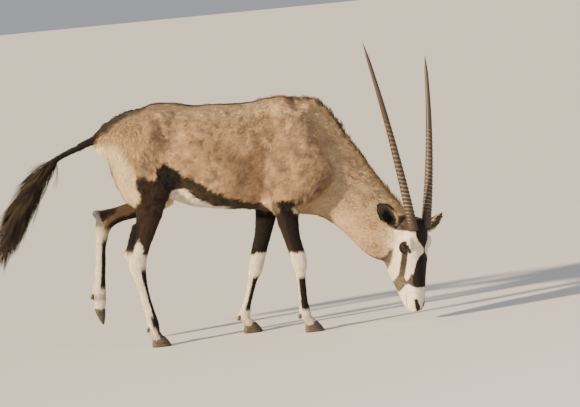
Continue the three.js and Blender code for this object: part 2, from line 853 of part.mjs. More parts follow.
function region(low, high, cuts) {
  let result = slab(low, high);
  for (const { point, normal } of cuts) result = keepBeyond(result, point, normal, -gap / 2);
  return result;
}
const neckRegion = region([400, -300, 100], [900, 300, 1400], [neckCut, chestCut]);
const farRegion = region([-800, -10, 0], [0, 260, 900], [farShankCut, farShankTop, farSide]);
torsoSolid = torsoSolid.subtract(slab([60, -260, 0], [560, 260, foreCutLevel + gap / 2]));
torsoSolid = torsoSolid.subtract(slab([-520, -260, 0], [-60, -20, hindCutLevel + gap / 2]));
torsoSolid = torsoSolid.subtract(farRegion);
torsoSolid = torsoSolid.subtract(neckRegion);
torsoSolid = torsoSolid.subtract(region([-900, -120, 900], [-430, 120, 1200], [tailCut, tailFloor]));
show('torso', largestOf(torsoSolid), tanCoat);

const neckNet = bodyNet([500, -260, 200], [1160, 200, 1180], 38);

// Short mane: two rows of flat locks along the crest, bent back towards the withers.
function surfaceFrom(inside, way) {
  let low = 0;
  let high = 320;
  for (let pass = 0; pass < 18; pass++) {
    const middle = (low + high) / 2;
    if (wholeAnimal(add(inside, way, middle)) < 0) low = middle;
    else high = middle;
  }
  return add(inside, way, low);
}
const crestStart = { at: [690, -9, 735], up: unit([0.8, 0, 0.6]) };
const crestEnd = { at: [905, -52, 478], up: unit([0.66, 0.12, 0.72]) };
const crestRoot = 20;
let manedNeck = neckNet;
for (let i = 0; i < maneLocks; i++) {
  const t = i / (maneLocks - 1);
  const inside = mixPoint(crestStart.at, crestEnd.at, t);
  const up = unit(mixPoint(crestStart.up, crestEnd.up, t));
  const back = unit(sub(crestStart.at, crestEnd.at));
  for (const side of [-1, 1]) {
    const way = unit(add(up, [0, 1, 0], side * 0.09 + (draw() - 0.5) * 0.06));
    const surface = surfaceFrom(inside, way);
    const height = maneHeight * mix(0.8, 1.05, draw());
    const line = [[-crestRoot, -10], [0, 4], [0.55 * height, 20], [height, 42]].map(([rise, lean]) => (
      add(add(surface, way, rise), back, lean)
    ));
    manedNeck = manedNeck.add(lock(line, 18, 5, way));
  }
}
let neckSolid = clip(manedNeck, [neckCut, chestCut, before(headCut)]);

const dockNet = bodyNet([-800, -84, 930], [-440, 84, 1180], 17);
show('tail_dock', clip(dockNet, [tailCut, tailFloor, before(tuftCut)]), darkCoat);

// Tail tuft: a slim core and long flat locks that overlap out to the tips.
const tuftLine = [
  { at: [-742, 0, 998], half: 17 }, { at: [-790, 0, 950], half: 26 },
  { at: [-850, 0, 880], half: 42 }, { at: [-915, 0, 790], half: 52 },
  { at: [-975, 0, 690], half: 50 }, { at: [-1025, 0, 590], half: 36 },
  { at: [-1058, 0, 520], half: 12 },
];
const tuftDepth = 0.8;

function tuftAt(t) {
  const spot = clamp(t, 0, 1) * (tuftLine.length - 1);
  const i = Math.min(Math.floor(spot), tuftLine.length - 2);
  const a = tuftLine[i];
  const b = tuftLine[i + 1];
  return {
    at: mixPoint(a.at, b.at, spot - i), half: mix(a.half, b.half, spot - i), along: unit(sub(b.at, a.at)),
  };
}

const coreRings = tuftLine.slice(0, 6).map(({ at, half }, i) => {
  const share = [1, 0.8, 0.5, 0.42, 0.36, 0.16][i];
  const { along } = tuftAt((i + 0.5) / (tuftLine.length - 1));
  return ringAround(at, [0, 1, 0], cross(along, [0, 1, 0]), half * share * tuftDepth, half * share, 8);
});
let tuftSolid = loft(coreRings);
for (let i = 0; i < tuftLocks; i++) {
  const from = mix(0.02, 0.6, ((i + draw()) / tuftLocks) ** 0.9);
  const reach = mix(0.32, 0.4, draw());
  const turn = i * 2.4 + draw() * 0.5;
  const swell = mix(0.86, 1.06, draw());
  const twist = (draw() - 0.5) * 0.5;
  const line = [0, 0.25, 0.5, 0.75, 1].map((u, k) => {
    const { at, half, along } = tuftAt(from + u * reach);
    const away = half * swell * [0.22, 0.66, 0.9, 0.94, 0.84][k];
    const side = Math.cos(turn + twist * u) * away * tuftDepth;
    return add(add(at, [0, 1, 0], side), cross(along, [0, 1, 0]), Math.sin(turn + twist * u) * away);
  });
  const { at } = tuftAt(from + 0.5 * reach);
  tuftSolid = tuftSolid.add(lock(line, mix(12, 16, draw()), 3.4, unit(sub(line[2], at))));
}
show('tail_tuft', clip(tuftSolid, [tuftCut]), darkCoat);

// Legs: the upper leg and the cannon with the foot are parted at the joint.
function legParts(name, low, high, cell, jointCut, footCut, topCuts) {
  const net = bodyNet(low, high, cell);
  show(`${name}_upper`, clip(net, [...topCuts, before(jointCut)]), tanCoat);
  return clip(net, [jointCut, before(footCut)]);
}

function dewclaw(centre, side, grow = 0) {
  const rings = [];
  const along = unit([-0.45, 0, -0.9]);
  const u = [0, 1, 0];
  const v = cross(along, u);
  for (const [s, r] of [[-14, 6], [-4, 9.5], [8, 9], [16, 4.5]]) {
    rings.push(ringAround(add(centre, along, s), u, v, r + grow, r * 0.8 + grow, 6));
  }
  return loft(rings);
}

const feet = [
  {
    name: 'foreleg_right', box: [[330, -190, 40], [540, -20, 640], 22],
    joint: 340, top: [below(foreCutLevel)], coronet: [468, -92, 58], toe: [1, -0.06, 0], lift: 0,
    heel: [420, -92, 98],
  },
  {
    name: 'foreleg_left', box: [[80, 20, 40], [400, 190, 640], 22],
    joint: 318, top: [below(foreCutLevel)], coronet: [155, 92, 58], toe: [1, 0.06, 0], lift: 0,
    heel: [108, 92, 94],
  },
  {
    name: 'hindleg_right', box: [[-500, -200, 40], [-120, -20, 800], 23],
    joint: 418, top: [below(hindCutLevel)], coronet: [-312, -98, 58], toe: [1, -0.06, 0], lift: 0,
    heel: [-352, -98, 104],
  },
];
for (const { name, box, joint, top, coronet, toe, lift, heel } of feet) {
  const jointCut = { point: [0, 0, joint], normal: [0, 0, -1] };
  const footCut = { point: [0, 0, soleLevel + clawHeight + 1], normal: [0, 0, -1] };
  let cannon = legParts(name, box[0], box[1], box[2], jointCut, footCut, top);
  for (const side of [-1, 1]) {
    const label = side < 0 ? 'right' : 'left';
    const spot = add(heel, [0, side * 17, 0]);
    cannon = cannon.subtract(dewclaw(spot, side, gap));
    show(`${name}_dewclaw_${label}`, dewclaw(spot, side), hoofHorn);
    show(`${name}_claw_${label}`, claw(coronet, toe, side, lift), hoofHorn);
  }
  show(`${name}_cannon`, largestOf(cannon), whiteCoat);
}

// Left hind leg, lifted in mid stride with the toe hanging.
const lifted = bodyNet([-680, -16, 180], [-180, 190, 860], 23);
const hockCut = { point: [0, 0, 575], normal: [0, 0, -1] };
const liftedCoronet = { point: [-600, 98, 214], normal: [0.05, 0, -1] };
show('hindleg_left_upper', clip(lifted, [farShankCut, farShankTop, farSide, before(hockCut)]), tanCoat);
let liftedCannon = clip(lifted, [hockCut, before(liftedCoronet)]);

function hangingClaw(side) {
  const outline = [
    [-0.34, 0.1], [-0.38, 0.55], [-0.26, 0.92], [0, 1], [0.24, 0.9],
    [0.42, 0.56], [0.5, 0.18], [0.48, 0.03], [0.2, 0.04], [0, 0.04],
  ];
  const levels = [
    { s: 2, long: 0.66, wide: 0.82, ahead: -2 }, { s: 30, long: 0.58, wide: 0.95, ahead: 1 },
    { s: 62, long: 0.36, wide: 0.8, ahead: 4 }, { s: 88, long: 0.1, wide: 0.4, ahead: 8 },
  ];
  const down = unit(liftedCoronet.normal);
  const across = [0, -1, 0];
  const ahead = unit(cross(across, down));
  const rings = levels.map(({ s, long, wide, ahead: push }) => outline.map(([x, y]) => {
    let p = add(liftedCoronet.point, down, s);
    p = add(p, ahead, x * long * clawLength + push);
    return add(p, across, side * (y * wide * clawWidth + 1.2));
  }));
  return loft(rings);
}
for (const side of [-1, 1]) {
  const label = side < 0 ? 'left' : 'right';
  const spot = [-629, 98 - side * 17, 276];
  liftedCannon = liftedCannon.subtract(dewclaw(spot, side, gap));
  show(`hindleg_left_dewclaw_${label}`, dewclaw(spot, side), hoofHorn);
  show(`hindleg_left_claw_${label}`, hangingClaw(side), hoofHorn);
}
show('hindleg_left_cannon', largestOf(liftedCannon), whiteCoat);

// Head with its sockets, mouth line and nostrils.
const headNet = bodyNet([830, -330, 20], [1200, 60, 600], 19);
let headSolid = clip(headNet, [headCut]);

const hornPieces = [[1, nearHornLength, 'right'], [-1, farHornLength, 'left']];
for (const [side, length, label] of hornPieces) {
  headSolid = headSolid.subtract(horn(side, length, gap * 1.3));
  neckSolid = neckSolid.subtract(horn(side, length, gap * 1.3));
  show(`horn_${label}`, horn(side, length), hornSheath);
}

const earPlaces = [
  { label: 'right', root: headPoint(15, 122, 69), tip: [871, -186, 630], open: [0.45, -0.85, -0.1] },
  { label: 'left', root: headPoint(48, 98, -67), tip: [1193, 16, 524], open: [0.6, -0.2, -0.3] },
];
for (const place of earPlaces) {
  headSolid = headSolid.subtract(earSeat(place, 4));
  neckSolid = neckSolid.subtract(earSeat(place, earRows.length));
  show(`ear_${place.label}`, ear(place), tanCoat);
}

// Upper and lower lid: a shell over the eyeball with an almond opening.
function lidsAround(centre, side) {
  const look = unit(add(add([0, 0, 0], headRight, side), headFace, 0.28));
  const long = unit(cross(look, add(headFace, headDown, 0.35)));
  const up = cross(long, look);
  const almond = (at, grow) => {
    const ring = [];
    for (let i = 0; i < 10; i++) {
      const angle = (i / 10) * Math.PI * 2;
      const height = Math.sin(angle) * (1 - 0.25 * Math.cos(angle) ** 2);
      ring.push(add(add(at, long, Math.cos(angle) * 18 * grow), up, height * 11 * grow));
    }
    return ring;
  };
  const opening = loft([almond(add(centre, look, 6), 0.8), almond(add(centre, look, 40), 1.25)]);
  return ball(centre, eyeRadius + lidThickness, 14, 8).subtract(opening);
}

// Nostril: a comma-shaped hollow that runs up and outward.
function nostrilCut(side) {
  const rings = [[-17, 2, 2], [-8, 0, 4.6], [4, -2, 5.4], [14, 1, 3.4], [19, 5, 1.6]].map(([s, rise, half]) => {
    const at = headPoint(nostril.down + s, nostril.deep - s * 0.45 - rise, side * nostril.side);
    return ringAround(at, headRight, headFace, 10, half, 8);
  });
  return loft(rings);
}

// Mouth line: a thin cut round the muzzle between the lips.
function mouthLine() {
  const rows = headRows.filter(([down]) => down > mouthCorner);
  const edge = (grow, end) => [
    [mouthCorner, 34 + grow], ...rows.map(([down, wide]) => [down, wide + grow]), [end, 12 + grow],
  ];
  const closed = (half) => [...half, ...half.map(([down, side]) => [down, -side]).reverse()];
  const plate = headPrism(closed(edge(16, 470)), mouthDeep, mouthDeep + mouthGap);
  return plate.subtract(headPrism(closed(edge(-6, 436)), mouthDeep - 5, mouthDeep + mouthGap + 5));
}

for (const [side, label] of [[1, 'right'], [-1, 'left']]) {
  const centre = headPoint(eyeCentre.down, eyeCentre.deep, side * eyeCentre.side);
  headSolid = headSolid.add(lidsAround(centre, side));
  headSolid = headSolid.subtract(ball(centre, eyeRadius + gap));
  headSolid = headSolid.subtract(nostrilCut(side));
  show(`eye_${label}`, ball(centre, eyeRadius), eyeGlass);
}
headSolid = headSolid.subtract(mouthLine());
show('head', largestOf(headSolid), whiteCoat);
show('neck', largestOf(neckSolid), tanCoat);

export default gemsbok;
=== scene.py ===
import math
import time
import bmesh
import bpy
import numpy as np
from mathutils import Matrix, Vector, kdtree


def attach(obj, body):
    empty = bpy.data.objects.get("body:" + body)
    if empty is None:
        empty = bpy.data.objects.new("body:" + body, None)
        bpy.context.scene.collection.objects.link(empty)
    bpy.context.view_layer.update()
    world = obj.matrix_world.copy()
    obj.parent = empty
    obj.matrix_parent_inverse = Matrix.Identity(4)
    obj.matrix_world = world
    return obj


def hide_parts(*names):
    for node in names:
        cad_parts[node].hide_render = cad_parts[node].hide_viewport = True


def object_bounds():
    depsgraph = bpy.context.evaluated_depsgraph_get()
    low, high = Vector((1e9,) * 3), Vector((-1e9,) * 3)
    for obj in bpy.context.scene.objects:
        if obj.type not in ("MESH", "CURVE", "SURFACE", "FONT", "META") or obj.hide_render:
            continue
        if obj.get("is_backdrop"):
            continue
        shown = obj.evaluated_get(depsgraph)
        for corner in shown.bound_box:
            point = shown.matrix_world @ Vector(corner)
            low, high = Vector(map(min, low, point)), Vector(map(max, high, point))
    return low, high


startTime = time.time()
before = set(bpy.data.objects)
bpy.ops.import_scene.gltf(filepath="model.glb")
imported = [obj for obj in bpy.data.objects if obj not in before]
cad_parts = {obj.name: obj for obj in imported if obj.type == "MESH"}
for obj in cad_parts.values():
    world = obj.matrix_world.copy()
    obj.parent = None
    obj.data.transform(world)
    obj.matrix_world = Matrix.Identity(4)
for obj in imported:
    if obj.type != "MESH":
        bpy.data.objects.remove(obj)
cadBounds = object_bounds()


def say(text):
    print(f"{time.time() - startTime:6.1f} s  {text}")


say("frame loaded")

# The body is worked out in millimetres, in the walking pose, and moved to the frame at the end.
standing = {"shift": (-55, 31, -10), "floor": 10}
headPlace = {"origin": (1080, -165, 492), "down": (-0.1, 0.11, -0.989), "face": (0.668, -0.729, -0.149)}


def unit(v):
    v = np.asarray(v, float)
    return v / np.maximum(np.linalg.norm(v, axis=-1, keepdims=True), 1e-9)


headDown = unit(headPlace["down"])
headFace = unit(headPlace["face"])
headRight = unit(np.cross(headDown, headFace))


def headPoint(down, deep, side):
    return np.array(headPlace["origin"], float) + headDown * down - headFace * deep + headRight * side


def headCoords(p):
    q = p - np.array(headPlace["origin"], float)
    return q @ headDown, -(q @ headFace), q @ headRight


def smooth(edge0, edge1, x):
    t = np.clip((x - edge0) / (edge1 - edge0), 0, 1)
    return t * t * (3 - 2 * t)


def mix(a, b, t):
    return a + (b - a) * t


# Forms of the body: distances, below zero inside

def smoothStations(rows, steps=3):
    rows = np.array(rows, float)
    last = len(rows) - 1
    result = []
    for i in range(last):
        a, b, c, d = (rows[min(max(k, 0), last)] for k in (i - 1, i, i + 1, i + 2))
        for s in range(steps):
            t = s / steps
            result.append(0.5 * (2 * b + (c - a) * t + (2 * a - 5 * b + 4 * c - d) * t * t
                                 + (3 * b - a - 3 * c + d) * t ** 3))
    result.append(rows[last])
    return np.array(result)


def station(x, y, z, wide, front, back=None):
    return (x, y, z, wide, front, front if back is None else back)


class Limb:

    def __init__(self, rows, facing, endCap=40, power=2.0, flow=1, lean=(0, 0, 0)):
        self.line = smoothStations(rows)
        at = self.line[:, :3]
        tangents = np.zeros_like(at)
        tangents[1:-1] = at[2:] - at[:-2]
        tangents[0] = at[1] - at[0]
        tangents[-1] = at[-1] - at[-2]
        self.tangents = unit(tangents)
        self.facing, self.endCap, self.power = np.array(facing, float), endCap, power
        self.flow, self.lean = flow, np.array(lean, float)
        reach = self.line[:, 3:].max(1)[:, None] + endCap
        self.low, self.high = (at - reach).min(0), (at + reach).max(0)

    def nearest(self, p):
        at = self.line[:, :3]
        best = np.full(len(p), 1e18)
        index = np.zeros(len(p), int)
        along = np.zeros(len(p))
        for i in range(len(at) - 1):
            step = at[i + 1] - at[i]
            t = np.clip(((p - at[i]) @ step) / (step @ step), 0, 1)
            away = p - at[i] - t[:, None] * step
            d = np.einsum("ij,ij->i", away, away)
            closer = d < best
            best[closer], index[closer], along[closer] = d[closer], i, t[closer]
        return index, along

    def __call__(self, p):
        index, along = self.nearest(p)
        a, b = self.line[index], self.line[index + 1]
        row = a + (b - a) * along[:, None]
        tangent = unit(self.tangents[index] + (self.tangents[index + 1] - self.tangents[index])
                       * along[:, None])
        side = unit(np.cross(tangent, self.facing))
        normal = np.cross(side, tangent)
        offset = p - row[:, :3]
        u = np.einsum("ij,ij->i", offset, side)
        v = np.einsum("ij,ij->i", offset, normal)
        ends = ((index == 0) & (along == 0)) | ((index == len(self.line) - 2) & (along == 1))
        w = np.abs(np.einsum("ij,ij->i", offset, tangent)) * ends
        depth = np.where(v > 0, row[:, 4], row[:, 5])
        k = self.power
        q = (np.abs(u / row[:, 3]) ** k + np.abs(v / depth) ** k + (w / self.endCap) ** k) ** (1 / k)
        r = np.sqrt(u * u + v * v + w * w)
        return np.where(q < 1e-4, -np.minimum(row[:, 3], depth), r - r / np.maximum(q, 1e-4))

    def flowAt(self, p):
        index, along = self.nearest(p)
        tangent = self.tangents[index] + (self.tangents[index + 1] - self.tangents[index]) * along[:, None]
        return unit(tangent * self.flow + self.lean)


class Mound:
    def __init__(self, centre, radii, axes=None):
        self.centre, self.radii = np.array(centre, float), np.array(radii, float)
        self.axes = np.eye(3) if axes is None else np.array(axes)
        reach = max(radii)
        self.low, self.high = self.centre - reach, self.centre + reach

    def __call__(self, p):
        q = (p - self.centre) @ self.axes.T
        k = np.sqrt(((q / self.radii) ** 2).sum(1))
        k2 = np.sqrt(((q / self.radii ** 2) ** 2).sum(1))
        return np.where(k < 1e-4, -min(self.radii), k * (k - 1) / np.maximum(k2, 1e-9))


class Rod:
    def __init__(self, start, end, startRadius, endRadius):
        self.start, self.end = np.array(start, float), np.array(end, float)
        self.radii = startRadius, endRadius
        reach = max(self.radii)
        self.low = np.minimum(self.start, self.end) - reach
        self.high = np.maximum(self.start, self.end) + reach

    def __call__(self, p):
        step = self.end - self.start
        t = np.clip(((p - self.start) @ step) / (step @ step), 0, 1)
        away = np.linalg.norm(p - self.start - t[:, None] * step, axis=1)
        return away - mix(self.radii[0], self.radii[1], t)


def blend(a, b, k):
    h = np.maximum(k - np.abs(a - b), 0) / k
    return np.minimum(a, b) - h * h * k * 0.25


def foldForms(p, forms, carve=False, start=None):
    d = np.full(len(p), 400.0) if start is None else start.copy()
    for form, soft in forms:
        room = soft + 70
        near = np.all((p > form.low - room) & (p < form.high + room), axis=1)
        if not near.any():
            continue
        here = form(p[near])
        d[near] = -blend(-d[near], here, soft) if carve else blend(d[near], here, soft)
    return d


trunkRows = [
    (-462, 1054, 84, 1168, 990), (-430, 1050, 128, 1198, 915), (-380, 1036, 152, 1228, 835),
    (-320, 1012, 162, 1249, 775), (-250, 988, 168, 1250, 770), (-180, 965, 172, 1241, 782),
    (-110, 940, 182, 1225, 735), (-30, 915, 192, 1217, 697), (70, 895, 196, 1207, 672),
    (170, 890, 194, 1200, 661), (260, 890, 184, 1198, 646), (340, 895, 170, 1205, 625),
    (420, 905, 152, 1214, 606), (490, 915, 132, 1210, 604), (545, 925, 112, 1192, 640),
]
trunk = Limb([station(x, 0, z, wide, top - z, z - low) for x, z, wide, top, low in trunkRows],
             (0, 0, 1), 50, 2.15, -1, (0, 0, -0.35))
neckForm = Limb([
    station(440, 0, 1030, 118, 216, 240), station(490, 0, 975, 120, 232, 240),
    station(540, 0, 925, 118, 218, 240), station(585, 0, 875, 112, 203, 232),
    station(630, -2, 828, 105, 187, 224), station(695, -9, 735, 93, 176, 203),
    station(758, -25, 657, 84, 164, 177), station(825, -42, 570, 76, 154, 160),
    station(885, -54, 496, 69, 150, 157), station(930, -58, 455, 60, 136, 148),
    station(968, -58, 425, 48, 98, 112),
], (0.75, 0, 0.66), 40, 1.9, -1, (-0.2, 0, -0.5))
tailForm = Limb([
    station(-440, 0, 1105, 42, 46), station(-490, 0, 1098, 34, 34), station(-530, 0, 1080, 24, 25),
    station(-572, 0, 1068, 20, 21), station(-626, 0, 1045, 18, 18), station(-673, 0, 1029, 17, 17),
    station(-722, 0, 1008, 16, 16), station(-765, 0, 985, 15, 15),
], (0, 0, 1), 14, 2, 1)


def trunkMasses(side):
    shoulderBlade = Limb([
        station(432, side * 62, 1160, 34, 46), station(480, side * 96, 1030, 44, 80),
        station(520, side * 116, 900, 50, 96), station(556, side * 118, 785, 50, 84),
        station(560, side * 108, 735, 40, 56),
    ], (1, 0, 0.4), 40, 2, 1)
    upperArm = Limb([
        station(548, side * 116, 770, 46, 70), station(470, side * 122, 728, 50, 82),
        station(398, side * 118, 690, 46, 72),
    ], (0.4, 0, 1), 46, 2, 1)
    return [
        (shoulderBlade, 60), (upperArm, 60),
        (Mound((430, side * 120, 820), (96, 46, 110)), 70),
        (Mound((-190, side * 104, 1160), (58, 34, 36)), 60),
        (Mound((-470, side * 62, 1062), (54, 34, 50)), 60),
    ]


def thigh(side, forward):
    return Limb([
        station(-330 + forward * 0.3, side * 92, 1090, 74, 128, 128),
        station(-318 + forward * 0.5, side * 104, 985, 86, 158, 150),
        station(-300 + forward * 0.8, side * 112, 880, 82, 142, 140),
        station(-288 + forward, side * 116, 800, 66, 118, 122),
    ], (1, 0, 0), 46, 2.1, 1)


def leg(rows, side, outer, inner):
    last = len(rows) - 1
    return Limb([station(x, side * mix(outer, inner, i / last), z, wide, deep)
                 for i, (z, x, deep, wide) in enumerate(rows)], (1, 0, 0), 24, 2.1, 1)


nearForeRows = [
    (700, 392, 84, 48), (640, 402, 64, 45), (585, 405, 56, 42), (532, 411, 49, 37), (479, 421, 43, 33),
    (430, 432, 41, 32), (392, 438, 43, 36), (352, 441, 39, 35), (316, 441, 30, 26), (280, 441, 25, 21),
    (225, 442, 23, 20), (170, 442, 24, 21), (135, 443, 28, 25), (104, 446, 31, 30), (80, 455, 27, 27),
    (58, 468, 29, 29),
]
farForeRows = [
    (700, 330, 84, 48), (640, 300, 60, 45), (590, 292, 54, 42), (515, 272, 47, 37), (455, 252, 42, 33),
    (405, 236, 40, 32), (368, 224, 41, 36), (330, 212, 38, 35), (294, 198, 29, 26), (260, 187, 24, 21),
    (212, 172, 22, 20), (164, 155, 23, 21), (130, 143, 28, 25), (99, 134, 32, 30), (78, 141, 27, 27),
    (58, 155, 29, 29),
]
nearHindRows = [
    (800, -285, 112, 60), (738, -286, 84, 52), (690, -292, 70, 47), (650, -303, 60, 43),
    (604, -315, 50, 37), (556, -333, 45, 32), (514, -350, 44, 30), (474, -368, 47, 33),
    (436, -376, 48, 34), (398, -374, 41, 30), (347, -367, 33, 25), (293, -358, 28, 22),
    (240, -349, 27, 21), (185, -338, 28, 23), (145, -331, 31, 26), (118, -327, 31, 29),
    (84, -322, 27, 27), (58, -312, 29, 29),
]
farCannonRows = [
    (650, -540, 34, 31), (612, -546, 39, 34), (575, -552, 38, 33), (540, -560, 33, 28),
    (500, -565, 30, 24), (449, -571, 29, 23), (397, -578, 29, 23), (345, -585, 31, 25),
    (309, -592, 36, 28), (280, -596, 38, 30), (250, -594, 34, 29), (222, -600, 33, 29),
]
farShank = Limb([
    station(-212, 112, 770, 56, 74), station(-262, 114, 742, 52, 74), station(-330, 114, 712, 46, 58),
    station(-402, 112, 690, 39, 43), station(-455, 110, 673, 34, 36), station(-502, 108, 652, 32, 36),
    station(-534, 107, 628, 33, 38),
], (0.3, 0, 1), 34, 2.1, 1)

thighNear, thighFar = thigh(-1, 0), thigh(1, 34)
nearFore, farFore = leg(nearForeRows, -1, 112, 92), leg(farForeRows, 1, 112, 92)
nearHind, farCannon = leg(nearHindRows, -1, 118, 98), leg(farCannonRows, 1, 107, 98)
bodyForms = [
    (trunk, 1), *trunkMasses(-1), *trunkMasses(1), (thighNear, 70), (thighFar, 70), (neckForm, 70),
    (Mound((528, 0, 1138), (88, 62, 60)), 40), (tailForm, 34), (nearFore, 46), (farFore, 46), (nearHind, 46),
    (farShank, 50), (farCannon, 16),
    (Rod((-378, -108, 470), (-421, -110, 492), 24, 17), 22),
    (Rod((-421, -110, 492), (-370, -114, 632), 17, 17), 26),
    (Rod((-536, 107, 648), (-566, 108, 694), 24, 17), 22),
    (Rod((-566, 108, 694), (-425, 111, 706), 17, 17), 26),
    (Rod((362, -108, 672), (338, -110, 694), 30, 24), 34),
    (Rod((296, 104, 640), (280, 108, 664), 30, 24), 34),
]
bodyHollows = [
    (Mound((-128, -190, 1094), (58, 44, 88)), 60), (Mound((-128, 190, 1094), (58, 44, 88)), 60),
    (Mound((-215, -212, 930), (60, 40, 70)), 60), (Mound((-200, 212, 930), (60, 40, 70)), 60),
    (Mound((262, -212, 800), (64, 44, 120)), 50), (Mound((262, 212, 800), (64, 44, 120)), 50),
]

headRows = [
    (-22, 52, 24, 136), (0, 62, 6, 156), (30, 72, -1, 172), (70, 75, -4, 192), (110, 75, -4, 214),
    (150, 74, -4, 234), (190, 71, -5, 239), (232, 66, -6, 224), (280, 58, -6, 195), (310, 53, -6, 174),
    (340, 50, -5, 154), (375, 47, -2, 132), (405, 43, 4, 113), (430, 34, 12, 97),
]
skull = Limb([station(*headPoint(down, (face + jaw) / 2, 0), wide, (jaw - face) / 2)
              for down, wide, face, jaw in headRows], headFace, 16, 2.7, -1)
headAxes = [headDown, headFace, headRight]


def headMasses(side):
    return [
        (Mound(headPoint(86, 30, side * 66), (34, 19, 19), headAxes), 18),
        (Mound(headPoint(118, 84, side * 62), (30, 20, 17), headAxes), 16),
        (Mound(headPoint(150, 132, side * 50), (70, 54, 24), headAxes), 26),
        (Rod(headPoint(108, 84, side * 64), headPoint(240, 84, side * 50), 15, 10), 22),
        (Mound(headPoint(392, 50, side * 24), (42, 30, 20), headAxes), 16),
        (Mound(headPoint(-6, 34, side * 46), (28, 28, 27), headAxes), 18),
        (Mound(headPoint(16, 92, side * 68), (24, 24, 18), headAxes), 20),
        (Mound(headPoint(160, 210, side * 46), (50, 42, 28), headAxes), 30),
    ]


headForms = [
    (skull, 1), *headMasses(-1), *headMasses(1),
    (Rod(headPoint(110, 20, 0), headPoint(408, 24, 0), 20, 19), 16),
    (Mound(headPoint(400, 88, 0), (36, 16, 27), headAxes), 12),
]

eye = {"down": 105, "deep": 60, "side": 66, "radius": 19.5}


def lidForms(side):
    centre = headPoint(eye["down"], eye["deep"], side * eye["side"])
    look = unit(headRight * side + headFace * 0.28 - headDown * 0.04)
    longWay = unit(np.cross(look, unit(headFace + headDown * 0.35)))
    up = unit(np.cross(longWay, look))
    cover = Mound(centre, (eye["radius"] + 3.4,) * 3)
    opening = Mound(centre + look * 19, (20.5, 16.5, 18), [longWay, up, look])
    ball = Mound(centre, (eye["radius"] - 0.8,) * 3)
    return cover, opening, ball


lids = [lidForms(-1), lidForms(1)]


def headDetail(p, d):
    for cover, opening, ball in lids:
        near = np.linalg.norm(p - cover.centre, axis=1) < 70
        if near.any():
            q = p[near]
            here = blend(d[near], cover(q), 9)
            here = -blend(-here, opening(q), 2.5)
            here = -blend(-here, ball(q), 1.0)
            d[near] = here
    down, deep, side = headCoords(p)
    near = (down > 300) & (down < 470) & (np.abs(side) < 80) & (np.abs(d) < 30)
    if near.any():
        q, dn, dp, sd = p[near], down[near], deep[near], np.abs(side[near])
        here = d[near]
        for s in (-1, 1):
            longWay = unit(headDown - headRight * s * 0.34)
            nostril = Mound(headPoint(406, 12, s * 21), (20, 10, 6), [
                longWay, unit(np.cross(longWay, np.cross(headFace, longWay))),
                unit(np.cross(headFace, longWay))])
            here = -blend(-here, nostril(q), 5)
        line = np.abs(dp - (62 + (445 - dn) * 0.03)) - 1.5 + smooth(345, 325, dn) * 20
        here = here + np.exp(-np.maximum(line, 0) ** 2 / 5) * 3.4 * smooth(322, 350, dn)
        d[near] = here
    return d


def animal(p, detail=False):
    body = foldForms(p, bodyForms)
    body = foldForms(p, bodyHollows, True, body)
    head = foldForms(p, headForms)
    d = blend(body, head, 46)
    return headDetail(p, d) if detail else d


# Soft random patterns in space

lattice = np.random.default_rng(5).random((48, 48, 48))


def noise(p, size, seed=0):
    q = p / size + np.array([13.1, 7.7, 3.3]) * (seed + 1)
    cell = np.floor(q).astype(int)
    f = q - cell
    f = f * f * (3 - 2 * f)
    total = np.zeros(len(p))
    for i in (0, 1):
        for j in (0, 1):
            for k in (0, 1):
                weight = (f[:, 0] if i else 1 - f[:, 0]) * (f[:, 1] if j else 1 - f[:, 1])
                weight = weight * (f[:, 2] if k else 1 - f[:, 2])
                total += weight * lattice[(cell[:, 0] + i) % 48, (cell[:, 1] + j) % 48, (cell[:, 2] + k) % 48]
    return total


# The net of the skin

netPlan = {"cell": 9.5, "block": 4, "low": (-800, -250, 40), "high": (1215, 250, 1290)}


def buildNet():
    cell, block = netPlan["cell"], netPlan["block"]
    low = np.array(netPlan["low"], float)
    count = np.ceil((np.array(netPlan["high"]) - low) / (cell * block)).astype(int)
    grids = [low[k] + (np.arange(count[k]) + 0.5) * cell * block for k in range(3)]
    coarse = np.stack(np.meshgrid(*grids, indexing="ij"), -1).reshape(-1, 3)
    rough = animal(coarse).reshape(count)
    fine = rough.repeat(block, 0).repeat(block, 1).repeat(block, 2)
    near = np.abs(fine) < cell * block * 1.25
    axes = [low[k] + np.arange(fine.shape[k]) * cell for k in range(3)]
    spots = np.argwhere(near)
    points = np.stack([axes[k][spots[:, k]] for k in range(3)], 1)
    values = fine
    values[near] = animal(points) + coatDepth(points)
    for k in range(3):
        for edge in (0, -1):
            index = [slice(None)] * 3
            index[k] = edge
            values[tuple(index)] = cell
    for turn in range(12):  # diagonal corners on a face would pinch the net
        changed = 0
        for a, b in ((0, 1), (1, 2), (2, 0)):
            def cut(i, j):
                index = [slice(None)] * 3
                index[a] = slice(1, None) if i else slice(None, -1)
                index[b] = slice(1, None) if j else slice(None, -1)
                return tuple(index)
            v00, v11, v10, v01 = (values[cut(*ij)] for ij in ((0, 0), (1, 1), (1, 0), (0, 1)))
            for x, y, u, w in ((v00, v11, v10, v01), (v10, v01, v00, v11)):
                bad = (x < 0) & (y < 0) & (u >= 0) & (w >= 0)
                changed += bad.sum()
                pickU = bad & (u < w)
                pickW = bad & ~(u < w)
                u[pickU] = -cell * 0.05
                w[pickW] = -cell * 0.05
        if not changed:
            break
    return netFaces(values, low, cell)


